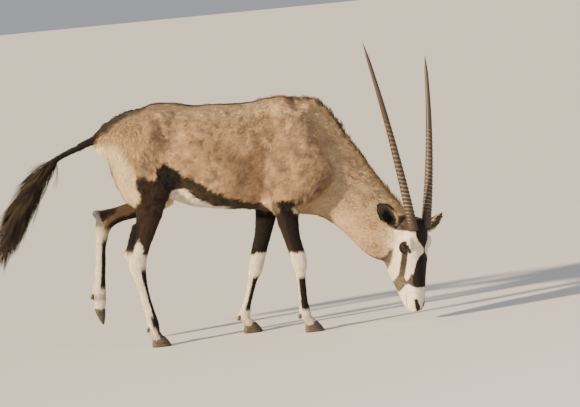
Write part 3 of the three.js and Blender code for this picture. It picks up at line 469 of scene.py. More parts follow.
def netFaces(values, low, cell):
    inside = values < 0
    shape = np.array(values.shape) - 1
    corner = lambda i, j, k: (slice(i, i + shape[0]), slice(j, j + shape[1]), slice(k, k + shape[2]))
    corners = [(i, j, k) for k in (0, 1) for j in (0, 1) for i in (0, 1)]
    total = sum(inside[corner(*c)].astype(np.int8) for c in corners)
    cells = np.argwhere((total > 0) & (total < 8))
    number = np.full(shape, -1)
    number[tuple(cells.T)] = np.arange(len(cells))
    sums, hits = np.zeros((len(cells), 3)), np.zeros(len(cells))
    for a in corners:
        for axis in range(3):
            if a[axis]:
                continue
            b = tuple(1 if k == axis else a[k] for k in range(3))
            va = values[tuple((cells + a).T)]
            vb = values[tuple((cells + b).T)]
            cross = (va < 0) != (vb < 0)
            t = np.where(cross, va / np.where(cross, va - vb, 1), 0)
            spot = np.array(a, float)[None, :] + np.eye(3)[axis] * t[:, None]
            sums += spot * cross[:, None]
            hits += cross
    points = low + (cells + sums / hits[:, None]) * cell
    quads = []
    for axis in range(3):
        after = [slice(None)] * 3
        before = [slice(None)] * 3
        after[axis], before[axis] = slice(1, None), slice(None, -1)
        change = inside[tuple(before)] != inside[tuple(after)]
        spots = np.argwhere(change)
        u, v = (axis + 1) % 3, (axis + 2) % 3
        spots = spots[(spots[:, u] > 0) & (spots[:, v] > 0)]
        spots = spots[(spots[:, u] < shape[u]) & (spots[:, v] < shape[v])]
        step = np.eye(3, dtype=int)
        around = ((0, 0), (1, 0), (1, 1), (0, 1))
        ring = [number[tuple((spots - s * step[u] - t * step[v]).T)] for s, t in around]
        quad = np.stack(ring, 1)
        outward = inside[tuple(spots.T)]
        quad[~outward] = quad[~outward][:, ::-1]
        quads.append(quad)
    quads = np.concatenate(quads)
    return points, quads[(quads >= 0).all(1)]


def slopeOf(p, field, h):
    g = np.stack([field(p + step) - field(p - step) for step in np.eye(3) * h], 1)
    return g / (2 * h)


def settle(p, field, reach, passes=2, h=0.6):
    for turn in range(passes):
        d = field(p)
        slope = slopeOf(p, field, h)
        steep = np.maximum((slope ** 2).sum(1), 0.25)
        p = p - slope * np.clip(d / steep, -reach, reach)[:, None]
    return p


# Where each part of the body lies, and how long its hair is

regions = {
    "trunk": [trunk, *(form for side in (-1, 1) for form, soft in trunkMasses(side)[:3])],
    "thighs": [thighNear, thighFar],
    "neck": [neckForm], "head": [skull, *(form for form, soft in headForms[1:])], "tail": [tailForm],
    "foreNear": [nearFore], "foreFar": [farFore], "hindNear": [nearHind], "shankFar": [farShank],
    "cannonFar": [farCannon],
}


def regionShares(p, softness=14):
    near = []
    for forms in regions.values():
        d = np.full(len(p), 400.0)
        for form in forms:
            room = 90
            inBox = np.all((p > form.low - room) & (p < form.high + room), axis=1)
            if inBox.any():
                d[inBox] = np.minimum(d[inBox], form(p[inBox]))
        near.append(d)
    near = np.stack(near, 1)
    share = np.exp(-(near - near.min(1, keepdims=True)) / softness)
    share /= share.sum(1, keepdims=True)
    return {name: share[:, i] for i, name in enumerate(regions)}


def coatDepth(p):
    down, deep, side = headCoords(p)
    ears = smooth(-60, 20, down) * (np.linalg.norm(p - headPoint(150, 80, 0), axis=1) < 330)
    face = smooth(-60, 40, down) * smooth(360, 300, np.linalg.norm(p - headPoint(190, 80, 0), axis=1))
    low = smooth(520, 420, p[:, 2]) * (1 - face)
    return mix(mix(5.0, 2.2, face), 2.6, low)


# Finished pieces: meshes in metres, in the frame

shift = np.array(standing["shift"], float)


def toFrame(p):
    return (np.asarray(p, float) + shift) / 1000


def pieceOf(name, points, faces, inFrame=False, smoothFaces=True):
    mesh = bpy.data.meshes.new(name)
    places = points if inFrame else toFrame(points)
    mesh.from_pydata(np.asarray(places).tolist(), [], [list(map(int, f)) for f in faces])
    mesh.update()
    bm = bmesh.new()
    bm.from_mesh(mesh)
    bmesh.ops.recalc_face_normals(bm, faces=bm.faces)
    bm.to_mesh(mesh)
    bm.free()
    if smoothFaces:
        mesh.polygons.foreach_set("use_smooth", [True] * len(mesh.polygons))
    piece = bpy.data.objects.new(name, mesh)
    bpy.context.scene.collection.objects.link(piece)
    return piece


def vertexPlaces(mesh):
    flat = np.empty(len(mesh.vertices) * 3)
    mesh.vertices.foreach_get("co", flat)
    return flat.reshape(-1, 3)


def writeValue(mesh, name, kind, values):
    item = mesh.attributes.get(name) or mesh.attributes.new(name, kind, "POINT")
    field = {"FLOAT": "value", "FLOAT_VECTOR": "vector", "FLOAT_COLOR": "color"}[kind]
    item.data.foreach_set(field, np.ascontiguousarray(values, dtype=np.float32).ravel())


def writeColour(mesh, colours):
    full = np.ones((len(colours), 4))
    full[:, :3] = colours
    writeValue(mesh, "coatColor", "FLOAT_COLOR", full)


def unwrap(piece, margin=0.003):
    bpy.ops.object.select_all(action="DESELECT")
    piece.select_set(True)
    bpy.context.view_layer.objects.active = piece
    if not piece.data.uv_layers:
        piece.data.uv_layers.new(name="OFBake")
    bpy.ops.object.mode_set(mode="EDIT")
    bpy.ops.mesh.select_all(action="SELECT")
    bpy.ops.uv.smart_project(angle_limit=1.15, island_margin=margin)
    bpy.ops.object.mode_set(mode="OBJECT")


# Materials

def linear(red, green, blue):
    c = np.array([red, green, blue]) / 255
    return np.where(c <= 0.04045, c / 12.92, ((c + 0.055) / 1.055) ** 2.4)


def newMaterial(name, roughness, specular=0.3):
    material = bpy.data.materials.new(name)
    material.use_nodes = True
    shader = material.node_tree.nodes["Principled BSDF"]
    shader.inputs["Roughness"].default_value = roughness
    shader.inputs["Specular IOR Level"].default_value = specular
    return material, shader


def addNode(material, kind, **settings):
    node = material.node_tree.nodes.new(kind)
    for key, value in settings.items():
        if key.startswith("in_"):
            node.inputs[key[3:].replace("_", " ")].default_value = value
        else:
            setattr(node, key, value)
    return node


def join(material, out, into):
    material.node_tree.links.new(out, into)


def noiseColour(material, shader, source, scale, low, high, detail=4.0):
    place = addNode(material, "ShaderNodeTexCoord")
    grain = addNode(material, "ShaderNodeTexNoise", in_Scale=scale, in_Detail=detail, in_Roughness=0.6)
    join(material, place.outputs["Object"], grain.inputs["Vector"])
    level = addNode(material, "ShaderNodeMapRange", in_From_Min=0.3, in_From_Max=0.7, in_To_Min=low,
                    in_To_Max=high)
    join(material, grain.outputs["Fac"], level.inputs["Value"])
    tint = addNode(material, "ShaderNodeMix", data_type="RGBA", blend_type="MULTIPLY")
    tint.inputs["Factor"].default_value = 1
    join(material, source, tint.inputs["A"])
    join(material, level.outputs["Result"], tint.inputs["B"])
    join(material, tint.outputs["Result"], shader.inputs["Base Color"])
    return grain, tint


def addBump(material, shader, height, strength, distance):
    bump = addNode(material, "ShaderNodeBump", in_Strength=strength, in_Distance=distance)
    join(material, height, bump.inputs["Height"])
    join(material, bump.outputs["Normal"], shader.inputs["Normal"])


def coatMaterial(name, scale, low, high, bump):
    material, shader = newMaterial(name, 0.82, 0.18)
    shader.inputs["Sheen Weight"].default_value = 0.1
    shader.inputs["Sheen Roughness"].default_value = 0.55
    colour = addNode(material, "ShaderNodeAttribute", attribute_name="coatColor")
    grain, tint = noiseColour(material, shader, colour.outputs["Color"], scale, low, high)
    if bump:
        addBump(material, shader, grain.outputs["Fac"], 0.6, bump)
    return material


skinLook = coatMaterial("shortHairOnHide", 260, 0.72, 1.12, 0.0016)
tuftLook = coatMaterial("hairTufts", 90, 0.86, 1.1, 0)
longLook = coatMaterial("longHair", 140, 0.8, 1.15, 0)

# Colours of the coat

coatTones = {
    "tan": linear(178, 148, 114), "fawn": linear(150, 118, 88), "cream": linear(222, 200, 164),
    "white": linear(232, 221, 200), "black": linear(26, 20, 17), "brown": linear(50, 36, 28),
    "grey": linear(104, 94, 80), "umber": linear(56, 44, 36), "crest": linear(214, 188, 148),
    "olive": linear(70, 62, 48), "stripe": linear(58, 47, 36), "ash": linear(108, 108, 108),
}


def insideShape(points, shape):
    shape = np.array(shape, float)
    best = np.full(len(points), 1e18)
    inside = np.zeros(len(points), bool)
    for a, b in zip(shape, np.roll(shape, -1, 0)):
        step = b - a
        t = np.clip(((points - a) @ step) / (step @ step), 0, 1)
        away = points - a - t[:, None] * step
        best = np.minimum(best, (away ** 2).sum(1))
        crosses = (a[1] > points[:, 1]) != (b[1] > points[:, 1])
        with np.errstate(divide="ignore", invalid="ignore"):
            at = a[0] + (points[:, 1] - a[1]) * (b[0] - a[0]) / (b[1] - a[1])
        inside ^= crosses & (points[:, 0] < at)
    return np.where(inside, -1, 1) * np.sqrt(best)


def nearLine(points, line):
    line = np.array(line, float)
    best = np.full(len(points), 1e18)
    for a, b in zip(line[:-1], line[1:]):
        step = b - a
        t = np.clip(((points - a) @ step) / (step @ step), 0, 1)
        away = points - a - t[:, None] * step
        best = np.minimum(best, (away ** 2).sum(1))
    return np.sqrt(best)


marks = {
    "ribShade": [(60, 1000), (190, 860), (250, 760)],
    "underBack": [(-150, 1190), (-50, 1180), (100, 1168), (260, 1166), (380, 1166), (520, 1150)],
    "farShankMiddle": [(-566, 694), (-534, 650), (-455, 685), (-330, 722), (-212, 770)],
    "elbow": [(300, 700), (336, 690), (352, 664)],
    "forearmSpot": [(452, 664), (458, 636)],
    "eyeCorner": [(110, 90), (89, 125)],
    "eyeSpike": [(116, 72), (114, 92)],
    "nostril": [(376, 31), (402, 22), (428, 12)],
    "stripeTop": [(-140, 915), (-96, 880), (-31, 838), (50, 787), (132, 735), (216, 710),
                  (284, 694), (360, 660)],
    "stripeLow": [(-168, 812), (-87, 799), (-39, 759), (42, 702), (100, 672), (140, 620), (340, 600)],
    "stifle": [(-229, 942), (-166, 937), (-114, 896), (-96, 874), (-110, 815), (-161, 800),
               (-207, 782), (-239, 826)],
    "gaskin": [(-338, 914), (-265, 874), (-233, 881), (-168, 803), (-200, 700), (-232, 600),
               (-268, 500), (-318, 470), (-352, 520), (-391, 480), (-400, 560), (-396, 679), (-366, 739),
               (-319, 787), (-333, 829)],
    "wedge": [(-352, 575), (-338, 500), (-322, 455), (-440, 440), (-430, 500), (-392, 500)],
    "buttock": [(-560, 1070), (-411, 1054), (-349, 947), (-322, 816), (-329, 735), (-373, 700),
                (-420, 700), (-600, 880)],
    "foreNear": [(338, 704), (452, 704), (470, 640), (482, 560), (494, 428), (376, 440), (352, 560)],
    "foreFar": [(228, 650), (352, 668), (332, 560), (292, 425), (176, 412), (206, 520)],
    "hockCap": [(-445, 520), (-402, 517), (-400, 470), (-430, 445), (-455, 470)],
    "chestHair": [(397, 666), (476, 689), (555, 717), (611, 763)],
    "throatLine": [(600, 575), (622, 553), (688, 495), (757, 416), (827, 342), (861, 318)],
    "crest": [(640, 1150), (673, 1124), (761, 971), (893, 747), (1001, 592)],
    "backLine": [(-380, 1228), (-293, 1248), (-150, 1240), (100, 1208), (350, 1208)],
    "croup": [(-530, 1092), (-490, 1120), (-440, 1160), (-397, 1200), (-344, 1236), (-290, 1246)],
    "throatPatch": [(198, 116), (203, 158), (213, 205), (236, 262), (300, 275), (300, 196),
                    (250, 160), (214, 122)],
    "forehead": [(-50, -80), (62, -80), (60, 0), (60, 24), (56, 44), (39, 71), (14, 96), (4, 110), (-4, 110)],
    "nose": [(-4, 130), (4, 130), (30, 147), (52, 171), (65, 212), (76, 252), (77, 283), (66, 308),
             (-20, 312), (-20, 150)],
    "eyeStripe": [(103, 118), (101, 134), (107, 177), (115, 226), (122, 254), (158, 258), (155, 231),
                  (150, 181), (142, 135), (138, 116)],
    "jawBand": [(186, 292), (158, 250), (122, 250), (115, 277), (99, 274), (74, 235), (60, 246), (56, 308),
                (94, 295), (112, 303), (154, 352), (215, 330)],
}


class Coat:
    def __init__(self, p):
        self.p = p
        self.wobble = noise(p, 26, 1) - 0.5 + (noise(p, 9, 2) - 0.5) * 0.7
        self.flat = p[:, [0, 2]] + self.wobble[:, None] * 14
        self.share = regionShares(p)
        self.trunk = self.share["trunk"] + self.share["thighs"]
        self.colour = np.tile(coatTones["tan"], (len(p), 1))

    def paint(self, name, amount):
        self.colour += (coatTones[name] - self.colour) * np.clip(amount, 0, 1)[:, None]


def paintSides(coat):
    x, y, z = coat.p.T
    paint, flat, share, trunkShare = coat.paint, coat.flat, coat.share, coat.trunk
    broad = noise(coat.p, 90, 3)
    paint("fawn", 0.45 * smooth(0.45, 0.8, broad) + 0.2 * smooth(0.5, 0.75, noise(coat.p, 30, 4)))
    paint("fawn", 0.5 * smooth(150, 20, nearLine(flat, marks["ribShade"])))
    paint("crest", 0.8 * smooth(95, 20, nearLine(flat, marks["crest"])) * (share["neck"] + trunkShare))
    paint("crest", 0.65 * smooth(46, 14, nearLine(flat, marks["underBack"])))
    paint("crest", 0.5 * share["neck"] * smooth(420, 620, z) * smooth(0.3, 0.7, broad))
    paint("cream", 0.45 * share["neck"] * smooth(820, 930, x))
    # Painted shade: the flank just behind the shoulder's rear edge is painted fawn, and brown nearest the
    # edge, for the shade in the hollow there.
    behind = np.interp(z, [700, 800, 900, 1000], [280, 316, 330, 327]) - x
    shoulderShade = smooth(-8, 12, behind) * smooth(230, 30, behind) * smooth(1040, 930, z) * smooth(680, 730, z)
    paint("fawn", 0.9 * shoulderShade * trunkShare)
    paint("brown", 0.28 * shoulderShade * smooth(120, 10, behind) * trunkShare)
    buttock = smooth(22, -22, insideShape(flat, marks["buttock"]))
    paint("cream", 0.95 * buttock * (trunkShare + share["hindNear"]))
    paint("cream", smooth(-400, -470, x) * smooth(1085, 1040, z) * trunkShare)
    inner = smooth(70, 30, np.abs(y)) * smooth(-150, -260, x) * smooth(900, 820, z)
    paint("cream", inner * trunkShare)


def paintBelly(coat):
    x, y, z = coat.p.T
    paint, flat = coat.paint, coat.flat
    top = np.interp(flat[:, 0], *np.array(marks["stripeTop"]).T)
    low = np.interp(flat[:, 0], *np.array(marks["stripeLow"]).T)
    reach = smooth(-185, -150, x) * smooth(372, 345, x) * coat.trunk
    paint("white", smooth(4, -8, flat[:, 1] - low) * reach)
    stripe = smooth(4, -5, flat[:, 1] - top) * smooth(-5, 4, flat[:, 1] - low) * reach
    paint("stripe", stripe)
    paint("black", stripe * smooth(-90, -130, x))
    paint("white", reach * smooth(100, 70, np.abs(y)) * smooth(150, 90, x) * smooth(900, 820, z))
    paint("black", smooth(7, -7, insideShape(flat, marks["stifle"])) * smooth(60, 100, np.abs(y)))


def paintNearHindLeg(coat):
    x, y, z = coat.p.T
    paint, flat, share = coat.paint, coat.flat, coat.share
    hind = share["hindNear"] + share["thighs"] * smooth(940, 880, z)
    nearSide = smooth(-50, -70, y)
    gaskin = smooth(7, -7, insideShape(flat, marks["gaskin"])) * smooth(-40, -60, y)
    paint("brown", gaskin * np.clip(hind + share["trunk"], 0, 1))
    ahead = x - np.interp(z, [r[0] for r in nearHindRows][::-1], [r[1] for r in nearHindRows][::-1])
    tendon = smooth(-26, -36, ahead) * smooth(690, 640, z) * smooth(480, 530, z)
    paint("black", nearSide * hind * tendon)
    hock = smooth(500, 470, flat[:, 1] + (x + 350) * 0.3)
    hock = np.maximum(smooth(6, -6, insideShape(flat, marks["wedge"])), hock)
    paint("white", nearSide * hock * smooth(700, 640, z))
    paint("black", share["hindNear"] * smooth(10, 16, ahead) * smooth(440, 400, z) * (y < 0))
    pastern = smooth(190, 160, z) * smooth(95, 125, z) * smooth(-14, 6, ahead)
    paint("black", share["hindNear"] * pastern)


def paintFarHindLeg(coat):
    x, y, z = coat.p.T
    paint, flat, share = coat.paint, coat.flat, coat.share
    farSide = smooth(50, 70, y)
    shank = (share["shankFar"] + share["thighs"] * smooth(860, 800, z)) * farSide
    middleLine = np.interp(x, *np.array(marks["farShankMiddle"]).T)
    paint("cream", shank)
    paint("fawn", shank * smooth(-280, -310, x))
    paint("stripe", shank * smooth(30, -10, x + 330) * 0.8)
    lowEdge = smooth(-14, -24, flat[:, 1] - middleLine + (x + 455) * 0.04)
    paint("black", shank * lowEdge * smooth(-280, -310, x))
    far = share["cannonFar"] * farSide
    topBand = smooth(4, 14, flat[:, 1] - middleLine) * smooth(-440, -470, x)
    paint("black", (shank + far) * topBand * smooth(630, 650, z))
    paint("white", far * smooth(652, 640, z + (x + 560) * 0.4))
    ahead = x - np.interp(z, [r[0] for r in farCannonRows][::-1], [r[1] for r in farCannonRows][::-1])
    paint("black", far * smooth(2, 10, ahead) * smooth(600, 540, z) * smooth(296, 330, z))
    paint("grey", far * smooth(296, 280, z) * smooth(250, 262, z) * 0.5)
    hockCap = smooth(-538, -556, x + (z - 670) * 0.1) * smooth(628, 640, z) * smooth(1000, 900, z)
    paint("ash", farSide * hockCap)


def paintForeleg(coat, part, rows, knee, tilt, reach):
    x, y, z = coat.p.T
    paint, flat, share = coat.paint, coat.flat, coat.share
    near = part == "foreNear"
    ahead = x - np.interp(z, [r[0] for r in rows][::-1], [r[1] for r in rows][::-1])
    beside = smooth(-50, -70, y) if near else smooth(50, 70, y)
    dark = beside * smooth(9, -5, insideShape(flat, marks[part]))
    paint("black", dark)
    if near:
        paint("brown", 0.8 * dark * smooth(-6, -22, ahead))
    paint("white", beside * share[part] * smooth(5, -5, flat[:, 1] - knee - ahead * tilt))
    patch = smooth(reach, reach + 8, ahead) * smooth(306, 290, z) * smooth(120, 140, z)
    paint("black", share[part] * beside * patch)


def paintElbows(coat):
    y = coat.p[:, 1]
    paint, flat = coat.paint, coat.flat
    outer = smooth(60, 90, np.abs(y))
    paint("cream", 0.6 * smooth(26, 10, nearLine(flat, marks["elbow"])) * outer * coat.trunk)
    paint("cream", 0.9 * smooth(12, 6, nearLine(flat, marks["forearmSpot"])) * outer * (y < 0))
    curls = smooth(24, 6, nearLine(flat, marks["chestHair"])) * outer
    paint("brown", 0.55 * curls * smooth(0.45, 0.65, noise(coat.p, 12, 17)))


def paintMiddleLines(coat):
    x, y, z = coat.p.T
    paint, flat, wobble = coat.paint, coat.flat, coat.wobble
    neckY = np.interp(x, [560, 700, 885, 968], [0, -9, -54, -58])
    throat = smooth(40, 22, nearLine(flat, marks["throatLine"])) * smooth(46, 26, np.abs(y - neckY))
    paint("brown", 0.9 * throat)
    back = smooth(40, 22, nearLine(flat, marks["backLine"])) * smooth(26, 14, np.abs(y) + wobble * 6)
    paint("umber", back * smooth(400, 250, x))
    croup = smooth(60, 30, nearLine(flat, marks["croup"])) * smooth(104, 70, np.abs(y) + wobble * 16)
    paint("umber", croup)
    paint("black", coat.share["tail"] * smooth(-500, -530, x))


def paintEyeRims(coat, face, net):
    p, (down, deep, side) = coat.p, headCoords(coat.p)
    for s in (-1, 1):
        outward = p - headPoint(eye["down"], eye["deep"], s * eye["side"])
        rim = smooth(36, 32, np.linalg.norm(outward, axis=1)) * smooth(-4, 4, (outward @ headRight) * s)
        coat.paint("black", np.minimum(face * 1.3, 1) * rim)
        coat.paint("black", face * smooth(10, 6, nearLine(net, marks["eyeCorner"])))
        coat.paint("black", face * smooth(6, 3, nearLine(net, marks["eyeSpike"])))
        nose = nearLine(np.stack([down, side * s], 1), marks["nostril"])
        nose = smooth(9, 5, nose - smooth(376, 415, down) * 3) * smooth(46, 34, deep)
        coat.paint("black", face * nose)


def paintFace(coat):
    p, paint, share = coat.p, coat.paint, coat.share
    down, deep, side = headCoords(p)
    face = share["head"] * smooth(-30, -6, down)
    if not (face > 0.01).any():
        return
    ripple = (noise(p, 8, 5) - 0.5) * 5
    wrap = np.abs(side) + np.maximum(deep, 0) * 0.9
    net = np.stack([wrap, down], 1) + ripple[:, None]
    paint("white", face)
    paint("cream", face * 0.5 * smooth(90, 170, deep))
    crown = share["head"] * smooth(24, 13, down + ripple) * smooth(150, 120, deep)
    paint("umber", crown)
    paint("stripe", crown * 0.7 * smooth(0.5, 0.7, noise(p, 7, 18)))
    eyeStripe = face * smooth(4, -4, insideShape(net, marks["eyeStripe"]))
    paint("stripe", eyeStripe * smooth(290, 210, down))
    paint("olive", eyeStripe * smooth(170, 250, down))
    band = face * smooth(4, -5, insideShape(net, marks["jawBand"]))
    paint("olive", band * (0.8 + 0.25 * noise(p, 6, 19)))
    paint("stripe", 0.6 * band * smooth(110, 80, wrap))
    throat = np.clip(share["head"] + share["neck"], 0, 1) * smooth(90, 120, deep)
    paint("olive", 0.9 * throat * smooth(7, -7, insideShape(net, marks["throatPatch"])))
    middle = np.abs(side + 9) + np.maximum(deep, 0) * 0.9
    middleNet = np.stack([middle, down], 1) + ripple[:, None] * 0.7
    front = share["head"] * smooth(70, 50, deep)
    for name in ("forehead", "nose"):
        paint("black", front * smooth(2.5, -2.5, insideShape(middleNet, marks[name])))
    bridge = smooth(6, 3.5, middleNet[:, 0]) * smooth(98, 104, down) * smooth(144, 138, down)
    paint("black", face * bridge)
    paintEyeRims(coat, face, net)
    paint("grey", face * 0.5 * smooth(6, 2, np.abs(deep - 70)) * smooth(350, 365, down))


def coatColour(p):
    coat = Coat(p)
    x, y, z = p.T
    paintSides(coat)
    paintBelly(coat)
    paintNearHindLeg(coat)
    paintFarHindLeg(coat)
    paintForeleg(coat, "foreNear", nearForeRows, knee=428, tilt=-0.1, reach=-16)
    paintForeleg(coat, "foreFar", farForeRows, knee=416, tilt=0.12, reach=-4)
    paintElbows(coat)
    paintMiddleLines(coat)
    legs = sum(coat.share[part] for part in ("foreNear", "foreFar", "hindNear", "shankFar", "cannonFar"))
    coat.paint("fawn", legs * smooth(120, 62, z) * 0.45)
    paintFace(coat)
    # Random mottled tone all over; on the sides of the body it is stronger, partly tone and partly painted
    # shade between ruffled hair clumps.
    ruffleShade = coat.trunk * smooth(-420, -250, x) * smooth(700, 760, z) * smooth(60, 120, np.abs(y))
    shade = 1 + (noise(p, 14, 6) - 0.5) * (0.22 + 0.4 * ruffleShade)
    shade += (noise(p, 34, 23) - 0.5) * 0.45 * ruffleShade
    return np.clip(coat.colour * shade[:, None], 0.002, 1)


say("colours ready")

# The skin


def makeSkin():
    points, quads = buildNet()
    bm = bmesh.new()
    for p in points:
        bm.verts.new(p)
    bm.verts.ensure_lookup_table()
    for quad in quads:
        bm.faces.new([bm.verts[i] for i in quad])
    bm.faces.ensure_lookup_table()
    for reach, low, turn in ((1.0, 470, 0), (0.86, 0, 1)):
        centres = np.array([f.calc_center_median() for f in bm.faces])
        down, deep, side = headCoords(centres)
        room = np.maximum(np.maximum(np.abs(down - 205) / 245, np.abs(deep - 90) / 130), np.abs(side) / 115)
        fine = (room < reach) & (foldForms(centres, headForms) < 16)
        fine |= (centres[:, 2] < low)
        chosen = {e for f, pick in zip(bm.faces, fine) if pick for e in f.edges}
        bmesh.ops.subdivide_edges(bm, edges=list(chosen), cuts=1, use_grid_fill=True)
        bm.faces.ensure_lookup_table()
    bmesh.ops.triangulate(bm, faces=[f for f in bm.faces if len(f.verts) > 4])
    mesh = bpy.data.meshes.new("coat_skin")
    bm.to_mesh(mesh)
    bm.free()
    p = vertexPlaces(mesh)
    say(f"skin net: {len(p)} points")
    p = settle(p, lambda q: animal(q, True) + coatDepth(q), 3.0)
    relief = (noise(p, 30, 21) - 0.5) * 9.0 + (noise(p, 14, 22) - 0.5) * 5.0
    rough = smooth(-420, -300, p[:, 0]) * smooth(640, 720, p[:, 2]) * smooth(880, 760, p[:, 0])
    slope = slopeOf(p, animal, 1.0)
    p = p + unit(slope) * (relief * rough * smooth(60, 110, np.abs(p[:, 1]) + p[:, 0] * 0.12))[:, None]
    piece = bpy.data.objects.new("coat_skin", mesh)
    bpy.context.scene.collection.objects.link(piece)
    mesh.vertices.foreach_set("co", toFrame(p).ravel())
    mesh.update()
    bm = bmesh.new()
    bm.from_mesh(mesh)
    bmesh.ops.recalc_face_normals(bm, faces=bm.faces)
    bm.to_mesh(mesh)
    bm.free()
    mesh.polygons.foreach_set("use_smooth", [True] * len(mesh.polygons))
    return piece, p


lieForms = {
    "trunk": trunk, "thighs": thighNear, "neck": neckForm, "head": skull, "tail": tailForm,
    "foreNear": nearFore, "foreFar": farFore, "hindNear": nearHind, "shankFar": farShank,
    "cannonFar": farCannon,
}


def lieOf(p, share):
    flow = np.zeros_like(p)
    for name, form in lieForms.items():
        weight = share[name]
        used = weight > 0.02
        if used.any():
            flow[used] += form.flowAt(p[used]) * weight[used][:, None]
    swirl = np.stack([noise(p, 60, k) - 0.5 for k in (7, 8, 9)], 1)
    return unit(flow + swirl * 0.35)


skinPiece, skinPlaces = makeSkin()
skinShare = regionShares(skinPlaces)
writeColour(skinPiece.data, coatColour(skinPlaces))
say("skin coloured")
unwrap(skinPiece)
skinPiece.data.materials.append(skinLook)
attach(skinPiece, "root")
legNames = ["foreleg_right", "foreleg_left", "hindleg_right", "hindleg_left"]
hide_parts("torso", "neck", "head", "tail_dock", *(f"{leg}_upper" for leg in legNames),
            *(f"{leg}_cannon" for leg in legNames))
say(f"skin: {sum(len(f.vertices) - 2 for f in skinPiece.data.polygons)} triangles")

# Tufts: one small clump of hairs, repeated over a surface


def tuftShape(name, length, width, hairs, joints, lift, curl=0.0, seed=1):
    draw = np.random.default_rng(seed)
    points, faces, places = [], [], []
    for i in range(hairs):
        across = (i + 0.5) / hairs - 0.5 + draw.uniform(-0.08, 0.08)
        reach = length * draw.uniform(0.72, 1.0)
        half = width / hairs * draw.uniform(0.42, 0.62)
        rise = lift * draw.uniform(0.6, 1.25)
        bend = draw.uniform(-0.3, 0.3) * width + across * width * 0.9
        first = len(points)
        for j in range(joints):
            t = j / joints
            x = reach * t - length * 0.06
            y = across * width * 0.55 + bend * t * t + math.sin(t * 9 + i) * curl
            z = rise * math.sin(min(t * 1.15, 1) * math.pi * 0.62) - length * 0.03 * (1 - t)
            taper = half * (1 - 0.55 * t)
            points += [(x, y - taper, z), (x, y + taper, z + taper * 0.5)]
            places += [(across, t, draw.random())] * 2
        points.append((reach, across * width * 0.55 + bend, rise * math.sin(math.pi * 0.62)))
        places.append((across, 1, draw.random()))
        for j in range(joints - 1):
            a = first + 2 * j
            faces.append((a, a + 2, a + 3, a + 1))
        faces.append((first + 2 * joints - 2, first + 2 * joints, first + 2 * joints - 1))
    mesh = bpy.data.meshes.new(name)
    mesh.from_pydata([tuple(c / 1000 for c in q) for q in points], [], faces)
    writeValue(mesh, "hairPlace", "FLOAT_VECTOR", np.array(places))
    return bpy.data.objects.new(name, mesh)


